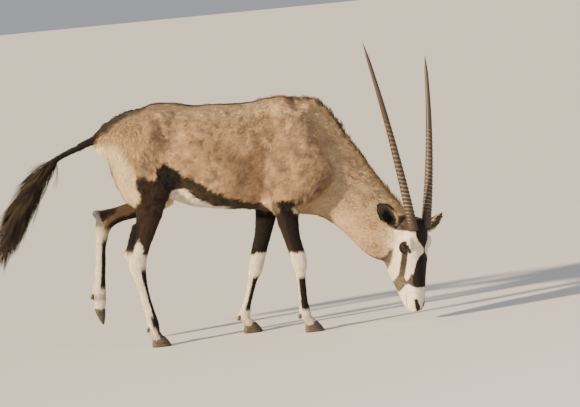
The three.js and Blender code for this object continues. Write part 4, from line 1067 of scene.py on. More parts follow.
def coatTree():
    tree = bpy.data.node_groups.new("tuftsOnSkin", "GeometryNodeTree")
    face = tree.interface
    face.new_socket("Geometry", in_out="INPUT", socket_type="NodeSocketGeometry")
    for label, kind in (("Tuft", "Object"), ("Density", "Float"), ("Length Spread", "Float"),
                        ("Turn Spread", "Float"), ("Seed", "Int"), ("Look", "Material")):
        face.new_socket(label, in_out="INPUT", socket_type=f"NodeSocket{kind}")
    face.new_socket("Geometry", in_out="OUTPUT", socket_type="NodeSocketGeometry")
    make, link = tree.nodes.new, tree.links.new
    entry, out = make("NodeGroupInput"), make("NodeGroupOutput")

    def named(label, kind):
        node = make("GeometryNodeInputNamedAttribute")
        node.data_type = kind
        node.inputs["Name"].default_value = label
        return node.outputs["Attribute"]

    def math2(kind, a, b):
        node = make("ShaderNodeMath")
        node.operation = kind
        for socket, value in zip(node.inputs, (a, b)):
            if isinstance(value, (int, float)):
                socket.default_value = value
            else:
                link(value, socket)
        return node.outputs[0]

    def spread(amount, shiftSeed, middle=0.0):
        node = make("FunctionNodeRandomValue")
        node.data_type = "FLOAT"
        link(math2("SUBTRACT", middle, amount), node.inputs["Min"])
        link(math2("ADD", middle, amount), node.inputs["Max"])
        link(math2("ADD", entry.outputs["Seed"], shiftSeed), node.inputs["Seed"])
        return node.outputs["Value"]

    scatter = make("GeometryNodeDistributePointsOnFaces")
    scatter.distribute_method = "RANDOM"
    link(entry.outputs["Geometry"], scatter.inputs["Mesh"])
    perArea = math2("MULTIPLY", entry.outputs["Density"], named("tuftDensity", "FLOAT"))
    link(perArea, scatter.inputs["Density"])
    link(entry.outputs["Seed"], scatter.inputs["Seed"])
    points = scatter.outputs["Points"]
    for label, source in (("rootPlace", make("GeometryNodeInputPosition").outputs[0]),
                          ("rootUv", named("OFBake", "FLOAT_VECTOR"))):
        keep = make("GeometryNodeStoreNamedAttribute")
        keep.data_type = "FLOAT_VECTOR"
        keep.domain = "POINT"
        keep.inputs["Name"].default_value = label
        link(points, keep.inputs["Geometry"])
        link(source, keep.inputs["Value"])
        points = keep.outputs["Geometry"]
    upright = make("FunctionNodeAlignRotationToVector")
    upright.axis = "Z"
    link(scatter.outputs["Normal"], upright.inputs["Vector"])
    combed = make("FunctionNodeAlignRotationToVector")
    combed.axis = "X"
    combed.pivot_axis = "Z"
    link(upright.outputs[0], combed.inputs["Rotation"])
    link(named("lie", "FLOAT_VECTOR"), combed.inputs["Vector"])
    turns = make("ShaderNodeCombineXYZ")
    link(spread(entry.outputs["Turn Spread"], 5), turns.inputs["Z"])
    link(math2("SUBTRACT", spread(math2("MULTIPLY", entry.outputs["Turn Spread"], 0.35), 9),
               named("tuftLift", "FLOAT")), turns.inputs["Y"])
    asTurn = make("FunctionNodeEulerToRotation")
    link(turns.outputs[0], asTurn.inputs[0])
    turned = make("FunctionNodeRotateRotation")
    turned.rotation_space = "LOCAL"
    link(combed.outputs[0], turned.inputs["Rotation"])
    link(asTurn.outputs[0], turned.inputs["Rotate By"])
    template = make("GeometryNodeObjectInfo")
    link(entry.outputs["Tuft"], template.inputs["Object"])
    grow = make("GeometryNodeInstanceOnPoints")
    link(points, grow.inputs["Points"])
    link(template.outputs["Geometry"], grow.inputs["Instance"])
    link(turned.outputs[0], grow.inputs["Rotation"])
    link(math2("MULTIPLY", named("tuftSize", "FLOAT"), spread(entry.outputs["Length Spread"], 3, 1.0)),
         grow.inputs["Scale"])
    real = make("GeometryNodeRealizeInstances")
    link(grow.outputs["Instances"], real.inputs["Geometry"])
    look = make("GeometryNodeSetMaterial")
    link(real.outputs["Geometry"], look.inputs["Geometry"])
    link(entry.outputs["Look"], look.inputs["Material"])
    link(look.outputs["Geometry"], out.inputs["Geometry"])
    return tree


tuftTree = coatTree()
socketIds = {item.name: item.identifier for item in tuftTree.interface.items_tree if item.in_out == "INPUT"}
grown = {"triangles": 0}
bakePatch = 0.003  # width of one tuft's patch on the unwrap


def growCoat(name, host, tuft, density, colourOf, look, seed, spreadLength=0.2, spreadTurn=0.3,
             tipLight=0.16, rootDark=0.3):
    worker = bpy.data.objects.new(name, host.data)
    bpy.context.scene.collection.objects.link(worker)
    bpy.context.scene.collection.objects.link(tuft)
    tufts = worker.modifiers.new("tufts", "NODES")
    tufts.node_group = tuftTree
    for label, value in (("Tuft", tuft), ("Density", float(density)), ("Length Spread", spreadLength),
                         ("Turn Spread", spreadTurn), ("Seed", seed), ("Look", look)):
        tufts[socketIds[label]] = value
    seen = worker.evaluated_get(bpy.context.evaluated_depsgraph_get())
    mesh = bpy.data.meshes.new_from_object(seen)
    worker.modifiers.remove(tufts)
    worker.data = mesh
    bpy.context.scene.collection.objects.unlink(tuft)
    perTuft = len(tuft.data.vertices)
    count = len(mesh.vertices) // perTuft

    def read(label):
        flat = np.empty(len(mesh.vertices) * 3, np.float32)
        mesh.attributes[label].data.foreach_get("vector", flat)
        return flat.reshape(-1, 3).astype(float)

    root, uv, place = read("rootPlace"), read("rootUv"), read("hairPlace")
    roots = root[::perTuft] * 1000 - shift
    colours = colourOf(roots)
    draw = np.random.default_rng(seed)
    colours = colours * draw.normal(1, 0.09, (count, 1)).clip(0.7, 1.3)
    every = np.repeat(colours, perTuft, 0)
    shadeAlong = (1 - rootDark * (1 - place[:, 1])) * (1 + tipLight * place[:, 1])
    shadeAlong *= 0.93 + 0.14 * place[:, 2]
    writeColour(mesh, (every * shadeAlong[:, None]).clip(0.001, 1))
    patch = uv[:, :2] + (place[:, :2] - np.array([0.0, 0.5])) * bakePatch
    corner = np.empty(len(mesh.loops), np.int32)
    mesh.loops.foreach_get("vertex_index", corner)
    for layer in list(mesh.uv_layers):
        mesh.uv_layers.remove(layer)
    layer = mesh.uv_layers.new(name="OFBake")
    layer.data.foreach_set("uv", patch[corner].astype(np.float32).clip(0, 1).ravel())
    for label in ("rootPlace", "rootUv", "hairPlace"):
        mesh.attributes.remove(mesh.attributes[label])
    mesh.name = name
    mesh.polygons.foreach_set("use_smooth", [True] * len(mesh.polygons))
    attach(worker, "root")
    triangles = sum(len(f.vertices) - 2 for f in tuft.data.polygons) * count
    grown["triangles"] += triangles
    say(f"{name}: {count} tufts, {triangles} triangles")
    return worker


def hostOf(name, mesh, keepFaces, size, density, lie, lift):
    copy = mesh.copy()
    writeValue(copy, "tuftSize", "FLOAT", size)
    writeValue(copy, "tuftDensity", "FLOAT", density)
    writeValue(copy, "lie", "FLOAT_VECTOR", lie)
    writeValue(copy, "tuftLift", "FLOAT", lift)
    if keepFaces is not None:
        bm = bmesh.new()
        bm.from_mesh(copy)
        bm.faces.ensure_lookup_table()
        drop = [bm.faces[i] for i in np.flatnonzero(~keepFaces)]
        bmesh.ops.delete(bm, geom=drop, context="FACES")
        bm.to_mesh(copy)
        bm.free()
    return bpy.data.objects.new(name, copy)


coatPlan = {
    "bodyTuft": dict(length=24, width=7.5, hairs=5, joints=2, lift=2.6),
    "shortTuft": dict(length=13, width=5.0, hairs=5, joints=2, lift=1.4),
    "faceTuft": dict(length=7, width=3.4, hairs=5, joints=1, lift=0.7),
    "density": {"body": 24000, "legs": 34000, "face": 52000},
}


def coverBody():
    p, mesh, share = skinPlaces, skinPiece.data, skinShare
    x, y, z = p.T
    down, deep, side = headCoords(p)
    face = share["head"] * smooth(-30, 0, down)
    legs = share["foreNear"] + share["foreFar"] + share["hindNear"] + share["cannonFar"] + share["shankFar"]
    lower = np.maximum(smooth(620, 520, z), share["cannonFar"])
    lie = lieOf(p, share)
    ruffle = smooth(0.45, 0.75, noise(p, 34, 11))
    size = mix(1.0, 0.62, share["neck"] * 0.3) * (0.85 + 0.3 * noise(p, 70, 12))
    lift = 0.02 + 0.26 * ruffle * (1 - legs) * (1 - face)
    curly = smooth(40, 12, nearLine(np.stack([x, z], 1), marks["chestHair"])) * smooth(60, 90, np.abs(y))
    lift += 0.4 * curly
    size = size * (1 + 0.45 * curly)
    eyeAway = np.minimum(*(np.linalg.norm(p - headPoint(eye["down"], eye["deep"], s * eye["side"]), axis=1)
                           for s in (-1, 1)))
    mouth = smooth(395, 425, down) * smooth(60, 20, deep) * face
    density = np.ones(len(p)) * smooth(22, 27, eyeAway) * (1 - 0.9 * mouth)
    corners = [np.array(f.vertices) for f in mesh.polygons]
    first = np.array([c[0] for c in corners])
    kind = np.where(face[first] > 0.5, 2, np.where(lower[first] > 0.5, 1, 0))
    fx, fz = x[first], z[first]
    tufts = {key: tuftShape(key, **coatPlan[key]) for key in ("bodyTuft", "shortTuft", "faceTuft")}
    parts = [
        ("coat_rump", (kind == 0) & (fx < -255), "bodyTuft", "body"),
        ("coat_flank", (kind == 0) & (fx >= -255) & (fx < 20), "bodyTuft", "body"),
        ("coat_ribs", (kind == 0) & (fx >= 20) & (fx < 290), "bodyTuft", "body"),
        ("coat_shoulder", (kind == 0) & (fx >= 290) & (fx < 560), "bodyTuft", "body"),
        ("coat_neck", (kind == 0) & (fx >= 560), "bodyTuft", "body"),
        ("coat_forelegs", (kind == 1) & (fx > 0), "shortTuft", "legs"),
        ("coat_hindlegs", (kind == 1) & (fx <= 0), "shortTuft", "legs"),
        ("coat_face", kind == 2, "faceTuft", "face"),
    ]
    for i, (name, keep, tuft, zone) in enumerate(parts):
        host = hostOf(name + "_host", mesh, keep, size, density, lie, lift)
        growCoat(name, host, tufts[tuft], coatPlan["density"][zone], coatColour, tuftLook, 20 + i)


coverBody()

# Horns

hornPlan = {"down": -14, "deep": 28, "side": 49, "radius": 26, "back": 0.21, "spread": 0.2, "bow": 0.026,
            "ridges": 27, "ridgedPart": 0.62, "sunk": -24, "sides": 40}
hornLengths = {"right": (1, 950), "left": (-1, 835)}


def loftPiece(name, rings):
    n = len(rings[0])
    points = np.concatenate(rings)
    faces = []
    for r in range(len(rings) - 1):
        for i in range(n):
            a, b = r * n + i, r * n + (i + 1) % n
            faces.append((a, b, b + n, a + n))
    for start, ring in ((0, rings[0]), ((len(rings) - 1) * n, rings[-1])):
        middle = len(points)
        points = np.concatenate([points, [ring.mean(0)]])
        faces += [(start + i, start + (i + 1) % n, middle) for i in range(n)]
    return pieceOf(name, points, faces)


def makeHorn(label, side, length):
    plan = hornPlan
    aim = unit(-headDown - headFace * plan["back"])
    start = headPoint(plan["down"], plan["deep"], side * plan["side"])
    ridgedEnd = length * plan["ridgedPart"]
    edges = [mix(10, ridgedEnd, (i / plan["ridges"]) ** 1.1) for i in range(plan["ridges"] + 1)]
    stops = [plan["sunk"], -8, 0, 5]
    for a, b in zip(edges[:-1], edges[1:]):
        stops += list(a + (b - a) * np.linspace(0, 1, 9)[:-1])
    stops += list(mix(edges[-1], length, np.linspace(0, 1, 46) ** 0.9))
    turn = np.linspace(0, 2 * math.pi, plan["sides"], endpoint=False)
    rings, ridge = [], []
    for s in stops:
        t = min(max(s / length, 0), 1)
        point = mix(1, 0.12, ((t - 0.9) / 0.1) ** 1.4) if t > 0.9 else 1
        radius = mix(plan["radius"], 7.5, t ** 1.15) * point
        ripple = np.zeros(len(turn))
        if edges[0] <= s:
            wave = s + 2.2 * np.sin(turn * 1 + side) + 1.1 * np.sin(turn * 3 + s * 0.02)
            number = np.interp(wave, edges, range(len(edges)))
            phase = number % 1
            height = mix(3.6, 1.2, np.clip(number / plan["ridges"], 0, 1))
            height = height * (0.9 + 0.2 * np.sin(number.astype(int) * 2.7))
            ring = np.where(phase < 0.62, smooth(0, 0.62, phase), smooth(1, 0.62, phase)) ** 1.5
            ripple = height * (ring - 0.45) * smooth(ridgedEnd, ridgedEnd - 60, s)
        centre = start + aim * s + headRight * side * plan["spread"] * s * mix(1, 0.9, t)
        centre = centre + headFace * 4 * plan["bow"] * length * t * (1 - t)
        rings.append(centre + headRight * (np.cos(turn) * (radius * 0.93 + ripple))[:, None]
                     + headFace * (np.sin(turn) * (radius + ripple))[:, None])
        # Ring height, which the horn material turns into painted shade in the grooves and painted highlight
        # on the crests.
        ridge.append(ripple / 3.0 + 0.5)
    horn = loftPiece(f"horn_{label}_sheath", rings)
    heights = np.concatenate(ridge + [[0.5], [0.5]])
    writeValue(horn.data, "ridge", "FLOAT", heights)
    along = np.concatenate([np.full(len(turn), s / length) for s in stops] + [[0], [1]])
    writeValue(horn.data, "along", "FLOAT", along)
    return horn


def hornMaterial():
    material, shader = newMaterial("ringedHorn", 0.5, 0.4)
    place = addNode(material, "ShaderNodeTexCoord")
    ridge = addNode(material, "ShaderNodeAttribute", attribute_name="ridge")
    along = addNode(material, "ShaderNodeAttribute", attribute_name="along")
    stretch = addNode(material, "ShaderNodeMapping")
    stretch.inputs["Scale"].default_value = (90, 90, 9)
    join(material, place.outputs["Object"], stretch.inputs["Vector"])
    grain = addNode(material, "ShaderNodeTexNoise", in_Scale=4.0, in_Detail=5.0, in_Roughness=0.65)
    join(material, stretch.outputs["Vector"], grain.inputs["Vector"])
    tone = addNode(material, "ShaderNodeValToRGB")
    tone.color_ramp.elements[0].position = 0.28
    tone.color_ramp.elements[0].color = (*linear(58, 47, 38), 1)
    tone.color_ramp.elements[1].position = 0.9
    tone.color_ramp.elements[1].color = (*linear(142, 122, 97), 1)
    # The ring height drives the colour: darker in the grooves and lighter on the crests, painted shade and
    # painted highlight on the rings; the grain adds random tone.
    mixed = addNode(material, "ShaderNodeMath", operation="MULTIPLY_ADD")
    join(material, grain.outputs["Fac"], mixed.inputs[0])
    mixed.inputs[1].default_value = 0.55
    join(material, ridge.outputs["Fac"], mixed.inputs[2])
    lower = addNode(material, "ShaderNodeMapRange", in_From_Min=0.55, in_From_Max=1.45)
    join(material, mixed.outputs[0], lower.inputs["Value"])
    join(material, lower.outputs["Result"], tone.inputs["Fac"])
    tip = addNode(material, "ShaderNodeMix", data_type="RGBA")
    fade = addNode(material, "ShaderNodeMapRange", in_From_Min=0.55, in_From_Max=0.72)
    join(material, along.outputs["Fac"], fade.inputs["Value"])
    join(material, fade.outputs["Result"], tip.inputs["Factor"])
    join(material, tone.outputs["Color"], tip.inputs["A"])
    tip.inputs["B"].default_value = (*linear(66, 55, 46), 1)
    base = addNode(material, "ShaderNodeMix", data_type="RGBA")
    young = addNode(material, "ShaderNodeMapRange", in_From_Min=0.11, in_From_Max=0.06)
    join(material, along.outputs["Fac"], young.inputs["Value"])
    join(material, young.outputs["Result"], base.inputs["Factor"])
    join(material, tip.outputs["Result"], base.inputs["A"])
    base.inputs["B"].default_value = (*linear(66, 52, 44), 1)
    join(material, base.outputs["Result"], shader.inputs["Base Color"])
    addBump(material, shader, grain.outputs["Fac"], 0.5, 0.0012)
    return material


hornLook = hornMaterial()
for label, (side, length) in hornLengths.items():
    hornPiece = makeHorn(label, side, length)
    hornPiece.data.materials.append(hornLook)
    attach(hornPiece, "root")
    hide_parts(f"horn_{label}")
say("horns done")

# Ears

earPlan = {"length": 168, "width": 86, "columns": 22, "rows": 40}
earRows = [
    (-0.1, 0.3, 2.5, 7), (0.04, 0.34, 2.35, 6.5), (0.16, 0.52, 1.95, 5), (0.32, 0.78, 1.6, 4),
    (0.5, 0.96, 1.35, 3.4), (0.66, 1, 1.2, 3), (0.8, 0.84, 1.1, 2.8),
    (0.91, 0.56, 1, 2.6), (0.98, 0.24, 0.9, 2.4),
]
earPlaces = {
    "right": {"root": headPoint(15, 122, 69), "tip": (871, -186, 630), "open": (0.45, -0.85, -0.1)},
    "left": {"root": headPoint(48, 98, -67), "tip": (1193, 16, 524), "open": (0.6, -0.2, -0.3)},
}


def makeEar(label, place):
    root, tip = np.array(place["root"], float), np.array(place["tip"], float)
    up = unit(tip - root)
    across = unit(np.cross(up, place["open"]))
    front = unit(np.cross(across, up))
    length = np.linalg.norm(tip - root)
    table = smoothStations([(*row, 0, 0) for row in earRows], 5)
    rings, inner, edge, along = [], [], [], []
    n = earPlan["columns"]
    for t, half, curl, thick, *rest in table:
        radius = half * earPlan["width"] * 0.5 / math.sin(min(curl, math.pi / 2))
        centre = root + up * t * length + front * (radius * 0.9 - 14)
        turns = np.linspace(-curl, curl, n)
        outer = [centre + across * math.sin(a) * radius - front * math.cos(a) * radius for a in turns]
        bore = radius - thick
        deep = [centre + across * math.sin(a * 0.975) * bore - front * math.cos(a * 0.975) * bore
                for a in turns[::-1]]
        rings.append(np.array(outer + deep))
        inner += [0] * n + [1] * n
        edge += list(np.abs(turns) / curl) + list(np.abs(turns[::-1]) / curl)
        along += [t] * (2 * n)
    ear = loftPiece(f"ear_{label}_skin", rings)
    inner, edge, along = (np.array(v, float) for v in (inner + [0, 1], edge + [0, 0], along + [0, 1]))
    return ear, inner, edge, along, up


def earColour(inner, edge, along):
    tone = coatTones
    colour = np.tile(tone["cream"], (len(inner), 1))

    def paint(name, amount):
        colour[:] = colour + (tone[name] - colour) * np.clip(amount, 0, 1)[:, None]

    paint("tan", (1 - inner) * smooth(0.1, 0.5, along) * 0.8)
    paint("grey", inner * smooth(0.97, 0.88, edge) * smooth(0.97, 0.88, along))
    paint("black", inner * smooth(0.56, 0.36, edge) * smooth(0.74, 0.58, along) * smooth(0.14, 0.28, along))
    paint("black", smooth(0.86, 0.96, edge) * smooth(0.48, 0.6, along))
    paint("black", smooth(0.88, 0.95, along))
    return colour


for label, place in earPlaces.items():
    earPiece, inner, edge, along, up = makeEar(label, place)
    colours = earColour(inner, edge, along)
    writeColour(earPiece.data, colours)
    unwrap(earPiece)
    earPiece.data.materials.append(skinLook)
    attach(earPiece, "root")
    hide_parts(f"ear_{label}")
    earPoints = vertexPlaces(earPiece.data) * 1000 - shift
    lie = np.tile(up, (len(earPoints), 1))
    rim = smooth(0.75, 1.0, edge)
    host = hostOf(f"ear_{label}_host", earPiece.data, None, 0.75 + 0.5 * rim + inner * 0.5,
                  smooth(-0.02, 0.1, along) * (1 - 0.55 * inner), lie, 0.05 + 0.25 * rim + 0.2 * inner)

    def earTone(roots, points=earPoints, colours=colours):
        tree = kdtree.KDTree(len(points))
        for i, q in enumerate(points):
            tree.insert(q, i)
        tree.balance()
        return colours[[tree.find(q)[1] for q in roots]]

    shortHair = tuftShape(f"earHair{label}", length=11, width=3.6, hairs=4, joints=2, lift=1.3)
    growCoat(f"coat_ear_{label}", host, shortHair, 90000, earTone, tuftLook, 41)
say("ears done")

# Eyes


def makeEye(label, side):
    centre = headPoint(eye["down"], eye["deep"], side * eye["side"])
    look = unit(headRight * side + headFace * 0.28 - headDown * 0.04)
    longWay = unit(np.cross(look, unit(headFace + headDown * 0.35)))
    up = unit(np.cross(longWay, look))
    rings, gaze = [], []
    turn = np.linspace(0, 2 * math.pi, 48, endpoint=False)
    for angle in np.linspace(0.02, math.pi - 0.02, 42):
        bulge = 1.4 * smooth(0.75, 0.2, angle)
        r = eye["radius"] - 0.9 + bulge * 0.5
        ring = centre + look * math.cos(angle) * r
        ring = ring + (longWay * np.cos(turn)[:, None] + up * np.sin(turn)[:, None]) * math.sin(angle) * r
        rings.append(ring)
        gaze.append(np.stack([np.cos(turn) * math.sin(angle), np.sin(turn) * math.sin(angle),
                              np.full(len(turn), math.cos(angle))], 1))
    piece = loftPiece(f"eye_{label}_ball", rings)
    writeValue(piece.data, "gaze", "FLOAT_VECTOR", np.concatenate(gaze + [[(0, 0, 1)], [(0, 0, -1)]]))
    return piece


def eyeMaterial():
    material, shader = newMaterial("wetEye", 0.1, 0.35)
    shader.inputs["Coat Weight"].default_value = 0.4
    shader.inputs["Coat Roughness"].default_value = 0.02
    gaze = addNode(material, "ShaderNodeAttribute", attribute_name="gaze")
    squash = addNode(material, "ShaderNodeMapping")
    squash.inputs["Scale"].default_value = (1.0, 2.1, 0)
    join(material, gaze.outputs["Vector"], squash.inputs["Vector"])
    pupil = addNode(material, "ShaderNodeVectorMath", operation="LENGTH")
    join(material, squash.outputs["Vector"], pupil.inputs[0])
    flat = addNode(material, "ShaderNodeMapping")
    flat.inputs["Scale"].default_value = (1, 1, 0)
    join(material, gaze.outputs["Vector"], flat.inputs["Vector"])
    ring = addNode(material, "ShaderNodeVectorMath", operation="LENGTH")
    join(material, flat.outputs["Vector"], ring.inputs[0])
    iris = addNode(material, "ShaderNodeValToRGB")
    stops = iris.color_ramp.elements
    stops[0].position, stops[0].color = 0.2, (*linear(18, 8, 6), 1)
    stops[1].position, stops[1].color = 0.66, (*linear(10, 6, 6), 1)
    middle = stops.new(0.42)
    middle.color = (*linear(34, 14, 9), 1)
    join(material, ring.outputs["Value"], iris.inputs["Fac"])
    dark = addNode(material, "ShaderNodeMapRange", in_From_Min=0.42, in_From_Max=0.5)
    join(material, pupil.outputs["Value"], dark.inputs["Value"])
    tint = addNode(material, "ShaderNodeMix", data_type="RGBA")
    join(material, dark.outputs["Result"], tint.inputs["Factor"])
    tint.inputs["A"].default_value = (0.004, 0.003, 0.003, 1)
    join(material, iris.outputs["Color"], tint.inputs["B"])
    join(material, tint.outputs["Result"], shader.inputs["Base Color"])
    return material


eyeLook = eyeMaterial()
for label, side in (("right", 1), ("left", -1)):
    eyePiece = makeEye(label, side)
    eyePiece.data.materials.append(eyeLook)
    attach(eyePiece, "root")
    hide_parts(f"eye_{label}")
say("eyes done")

# Hooves and dewclaws

clawPlan = {"length": 92, "width": 27, "height": 52, "around": 44}


def smoothOutline(outline, count):
    outline = np.array(outline, float)
    n = len(outline)
    places = []
    for k in range(count):
        s = k / count * n
        i = int(s)
        t = s - i
        a, b, c, d = (outline[(i + j) % n] for j in (-1, 0, 1, 2))
        places.append(0.5 * (2 * b + (c - a) * t + (2 * a - 5 * b + 4 * c - d) * t * t
                             + (3 * b - a - 3 * c + d) * t ** 3))
    return np.array(places)


def levelsBetween(levels, count):
    levels = np.array(levels, float)
    spots = np.linspace(0, 1, count)
    base = (levels[:, 0] - levels[0, 0]) / (levels[-1, 0] - levels[0, 0])
    return [[np.interp(s, base, levels[:, k]) for k in range(levels.shape[1])] for s in spots]


standingOutline = [(-0.42, 0.1), (-0.46, 0.55), (-0.34, 0.92), (-0.06, 1), (0.24, 0.9), (0.46, 0.56),
                   (0.58, 0.18),
                   (0.56, 0.03), (0.3, 0.04), (0, 0.04)]
hangingOutline = [(-0.34, 0.1), (-0.38, 0.55), (-0.26, 0.92), (0, 1), (0.24, 0.9), (0.42, 0.56), (0.5, 0.18),
                  (0.48, 0.03), (0.2, 0.04), (0, 0.04)]


def standingClaw(name, ankle, forward, side):
    ahead, up = unit(forward), np.array([0, 0, 1.0])
    across = unit(np.cross(up, ahead))
    outline = smoothOutline(standingOutline, clawPlan["around"])
    rings = []
    for z, long, wide, back in [(0, 0.93, 0.93, 0)] + levelsBetween(
            [(0.02, 0.985, 0.985, 0), (0.08, 1, 1, 0), (0.55, 0.84, 0.93, 0.06), (1, 0.62, 0.8, 0.13)], 16):
        ripple = 1 + 0.006 * math.sin(z * 46)
        base = np.array([ankle[0], ankle[1], standing["floor"]]) + ahead * 14
        ring = base + ahead * ((outline[:, 0] * long * ripple - back) * clawPlan["length"])[:, None]
        ring = ring + across * (side * (outline[:, 1] * wide * ripple * clawPlan["width"] + 1.2))[:, None]
        low = np.where(outline[:, 0] > 0, 1, mix(1, 0.72, np.clip(-outline[:, 0] * 2, 0, 1)))
        rings.append(ring + up * (z * clawPlan["height"] * low)[:, None])
    return loftPiece(name, rings)


hanging = {"point": (-600, 98, 214), "normal": (0.05, 0, -1)}


def hangingClaw(name, side):
    down = unit(hanging["normal"])
    across = np.array([0, -1.0, 0])
    ahead = unit(np.cross(across, down))
    outline = smoothOutline(hangingOutline, clawPlan["around"])
    rings = []
    for s, long, wide, push in levelsBetween([(2, 0.66, 0.82, -2), (30, 0.58, 0.95, 1), (62, 0.36, 0.8, 4),
                                              (88, 0.1, 0.4, 8)], 16):
        forward = outline[:, 0] * long * clawPlan["length"] + push
        ring = np.array(hanging["point"]) + down * s + ahead * forward[:, None]
        rings.append(ring + across * (side * (outline[:, 1] * wide * clawPlan["width"] + 1.2))[:, None])
    return loftPiece(name, rings)


def makeDewclaw(name, centre):
    along = unit([-0.45, 0, -0.9])
    u = np.array([0, 1.0, 0])
    v = np.cross(along, u)
    turn = np.linspace(0, 2 * math.pi, 20, endpoint=False)
    rings = []
    for s, r in levelsBetween([(-14, 6), (-4, 9.5), (8, 9), (14, 6), (16, 3.4)], 12):
        ring = u * (np.cos(turn) * r)[:, None] + v * (np.sin(turn) * r * 0.8)[:, None]
        rings.append(np.array(centre) + along * s + ring)
    return loftPiece(name, rings)


def hoofMaterial():
    material, shader = newMaterial("hoofHorn", 0.55, 0.35)
    place = addNode(material, "ShaderNodeTexCoord")
    stretch = addNode(material, "ShaderNodeMapping")
    stretch.inputs["Scale"].default_value = (30, 30, 240)
    join(material, place.outputs["Object"], stretch.inputs["Vector"])
    rings = addNode(material, "ShaderNodeTexNoise", in_Scale=1.0, in_Detail=4.0, in_Roughness=0.6)
    join(material, stretch.outputs["Vector"], rings.inputs["Vector"])
    tone = addNode(material, "ShaderNodeValToRGB")
    tone.color_ramp.elements[0].position, tone.color_ramp.elements[0].color = 0.3, (*linear(34, 30, 28), 1)
    tone.color_ramp.elements[1].position, tone.color_ramp.elements[1].color = 0.75, (*linear(98, 86, 72), 1)
    join(material, rings.outputs["Fac"], tone.inputs["Fac"])
    join(material, tone.outputs["Color"], shader.inputs["Base Color"])
    addBump(material, shader, rings.outputs["Fac"], 0.5, 0.0008)
    return material


hoofLook = hoofMaterial()
footPlan = {
    "foreleg_right": {"ankle": (468, -92), "toe": (1, -0.06, 0), "heel": (420, -92, 98)},
    "foreleg_left": {"ankle": (155, 92), "toe": (1, 0.06, 0), "heel": (108, 92, 94)},
    "hindleg_right": {"ankle": (-312, -98), "toe": (1, -0.06, 0), "heel": (-352, -98, 104)},
}


def finishHoof(piece, node):
    piece.data.materials.append(hoofLook)
    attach(piece, "root")
    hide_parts(node)


for leg, foot in footPlan.items():
    for side, label in ((-1, "right"), (1, "left")):
        heel = np.array(foot["heel"], float) + (0, side * 17, 0)
        hoof = standingClaw(f"{leg}_hoof_{label}", foot["ankle"], foot["toe"], side)
        finishHoof(hoof, f"{leg}_claw_{label}")
        finishHoof(makeDewclaw(f"{leg}_spur_{label}", heel), f"{leg}_dewclaw_{label}")
for side, label in ((1, "right"), (-1, "left")):
    finishHoof(hangingClaw(f"hindleg_left_hoof_{label}", side), f"hindleg_left_claw_{label}")
    spur = makeDewclaw(f"hindleg_left_spur_{label}", (-629, 98 - side * 17, 276))
    finishHoof(spur, f"hindleg_left_dewclaw_{label}")
say("hooves done")

# Tail tuft and mane

tuftLine = [((-742, 0, 998), 17), ((-790, 0, 955), 34), ((-850, 0, 884), 52), ((-915, 0, 794), 60),
            ((-975, 0, 690), 56), ((-1025, 0, 590), 38), ((-1058, 0, 520), 12)]
tailPlan = {"core": 0.5, "flat": 0.8, "density": 8200, "seed": 61,
            "tuft": dict(length=185, width=15, hairs=7, joints=6, lift=22, curl=0.8)}


def makeTailCore():
    table = smoothStations([(*at, half, 0, 0) for at, half in tuftLine], 6)
    table = table[:int(len(table) * 0.93)]
    turn = np.linspace(0, 2 * math.pi, 20, endpoint=False)
    rings, ways = [], []
    for i, row in enumerate(table):
        ahead = unit(table[min(i + 1, len(table) - 1), :3] - table[max(i - 1, 0), :3])
        acrossTail = np.cross(ahead, (0, 1.0, 0))
        half = row[3] * mix(0.92, 0.3, (i / len(table)) ** 0.7)
        rings.append(row[:3] + np.array([0, 1.0, 0]) * (np.cos(turn) * half * tailPlan["flat"])[:, None]
                     + acrossTail * (np.sin(turn) * half)[:, None])
        ways.append(np.tile(ahead, (len(turn), 1)))
    core = loftPiece("tail_core", rings)
    return core, np.concatenate(ways + [ways[0][:1], ways[-1][:1]])


tailCore, tailWay = makeTailCore()
tailPoints = vertexPlaces(tailCore.data) * 1000 - shift
writeColour(tailCore.data, np.tile(coatTones["black"], (len(tailPoints), 1)))
unwrap(tailCore)
tailCore.data.materials.append(longLook)
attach(tailCore, "root")
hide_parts("tail_tuft")
lowness = np.clip((998 - tailPoints[:, 2]) / 478, 0, 1)
tailSize = mix(0.72, 1.0, smooth(0, 0.35, lowness)) * mix(1, 0.62, smooth(0.45, 0.9, lowness))
tailThick = smooth(-0.02, 0.03, lowness) * mix(1.2, 0.8, lowness)
tailLift = np.full(len(tailPoints), 0.02)
tailHost = hostOf("tail_host", tailCore.data, None, tailSize, tailThick, tailWay, tailLift)


def tailColour(roots):
    # Random lighter brown strands on the black tail hair: painted sheen.
    sheenStrand = smooth(0.42, 0.7, noise(roots, 9, 13))[:, None]
    return coatTones["black"] * 0.8 + (coatTones["stripe"] * 1.3 - coatTones["black"] * 0.8) * sheenStrand


tailTuft = tuftShape("tailTuft", seed=5, **tailPlan["tuft"])
growCoat("coat_tail", tailHost, tailTuft, tailPlan["density"], tailColour, longLook,
         tailPlan["seed"], 0.24, 0.26)

manePlan = {"density": 15000, "seed": 71, "tuft": dict(length=30, width=10, hairs=6, joints=3, lift=8),
            "neckLine": [(560, 1190), (601, 1172), (673, 1124), (761, 971), (893, 747), (985, 620)],
            "withersLine": [(330, 1208), (450, 1214), (560, 1190)]}


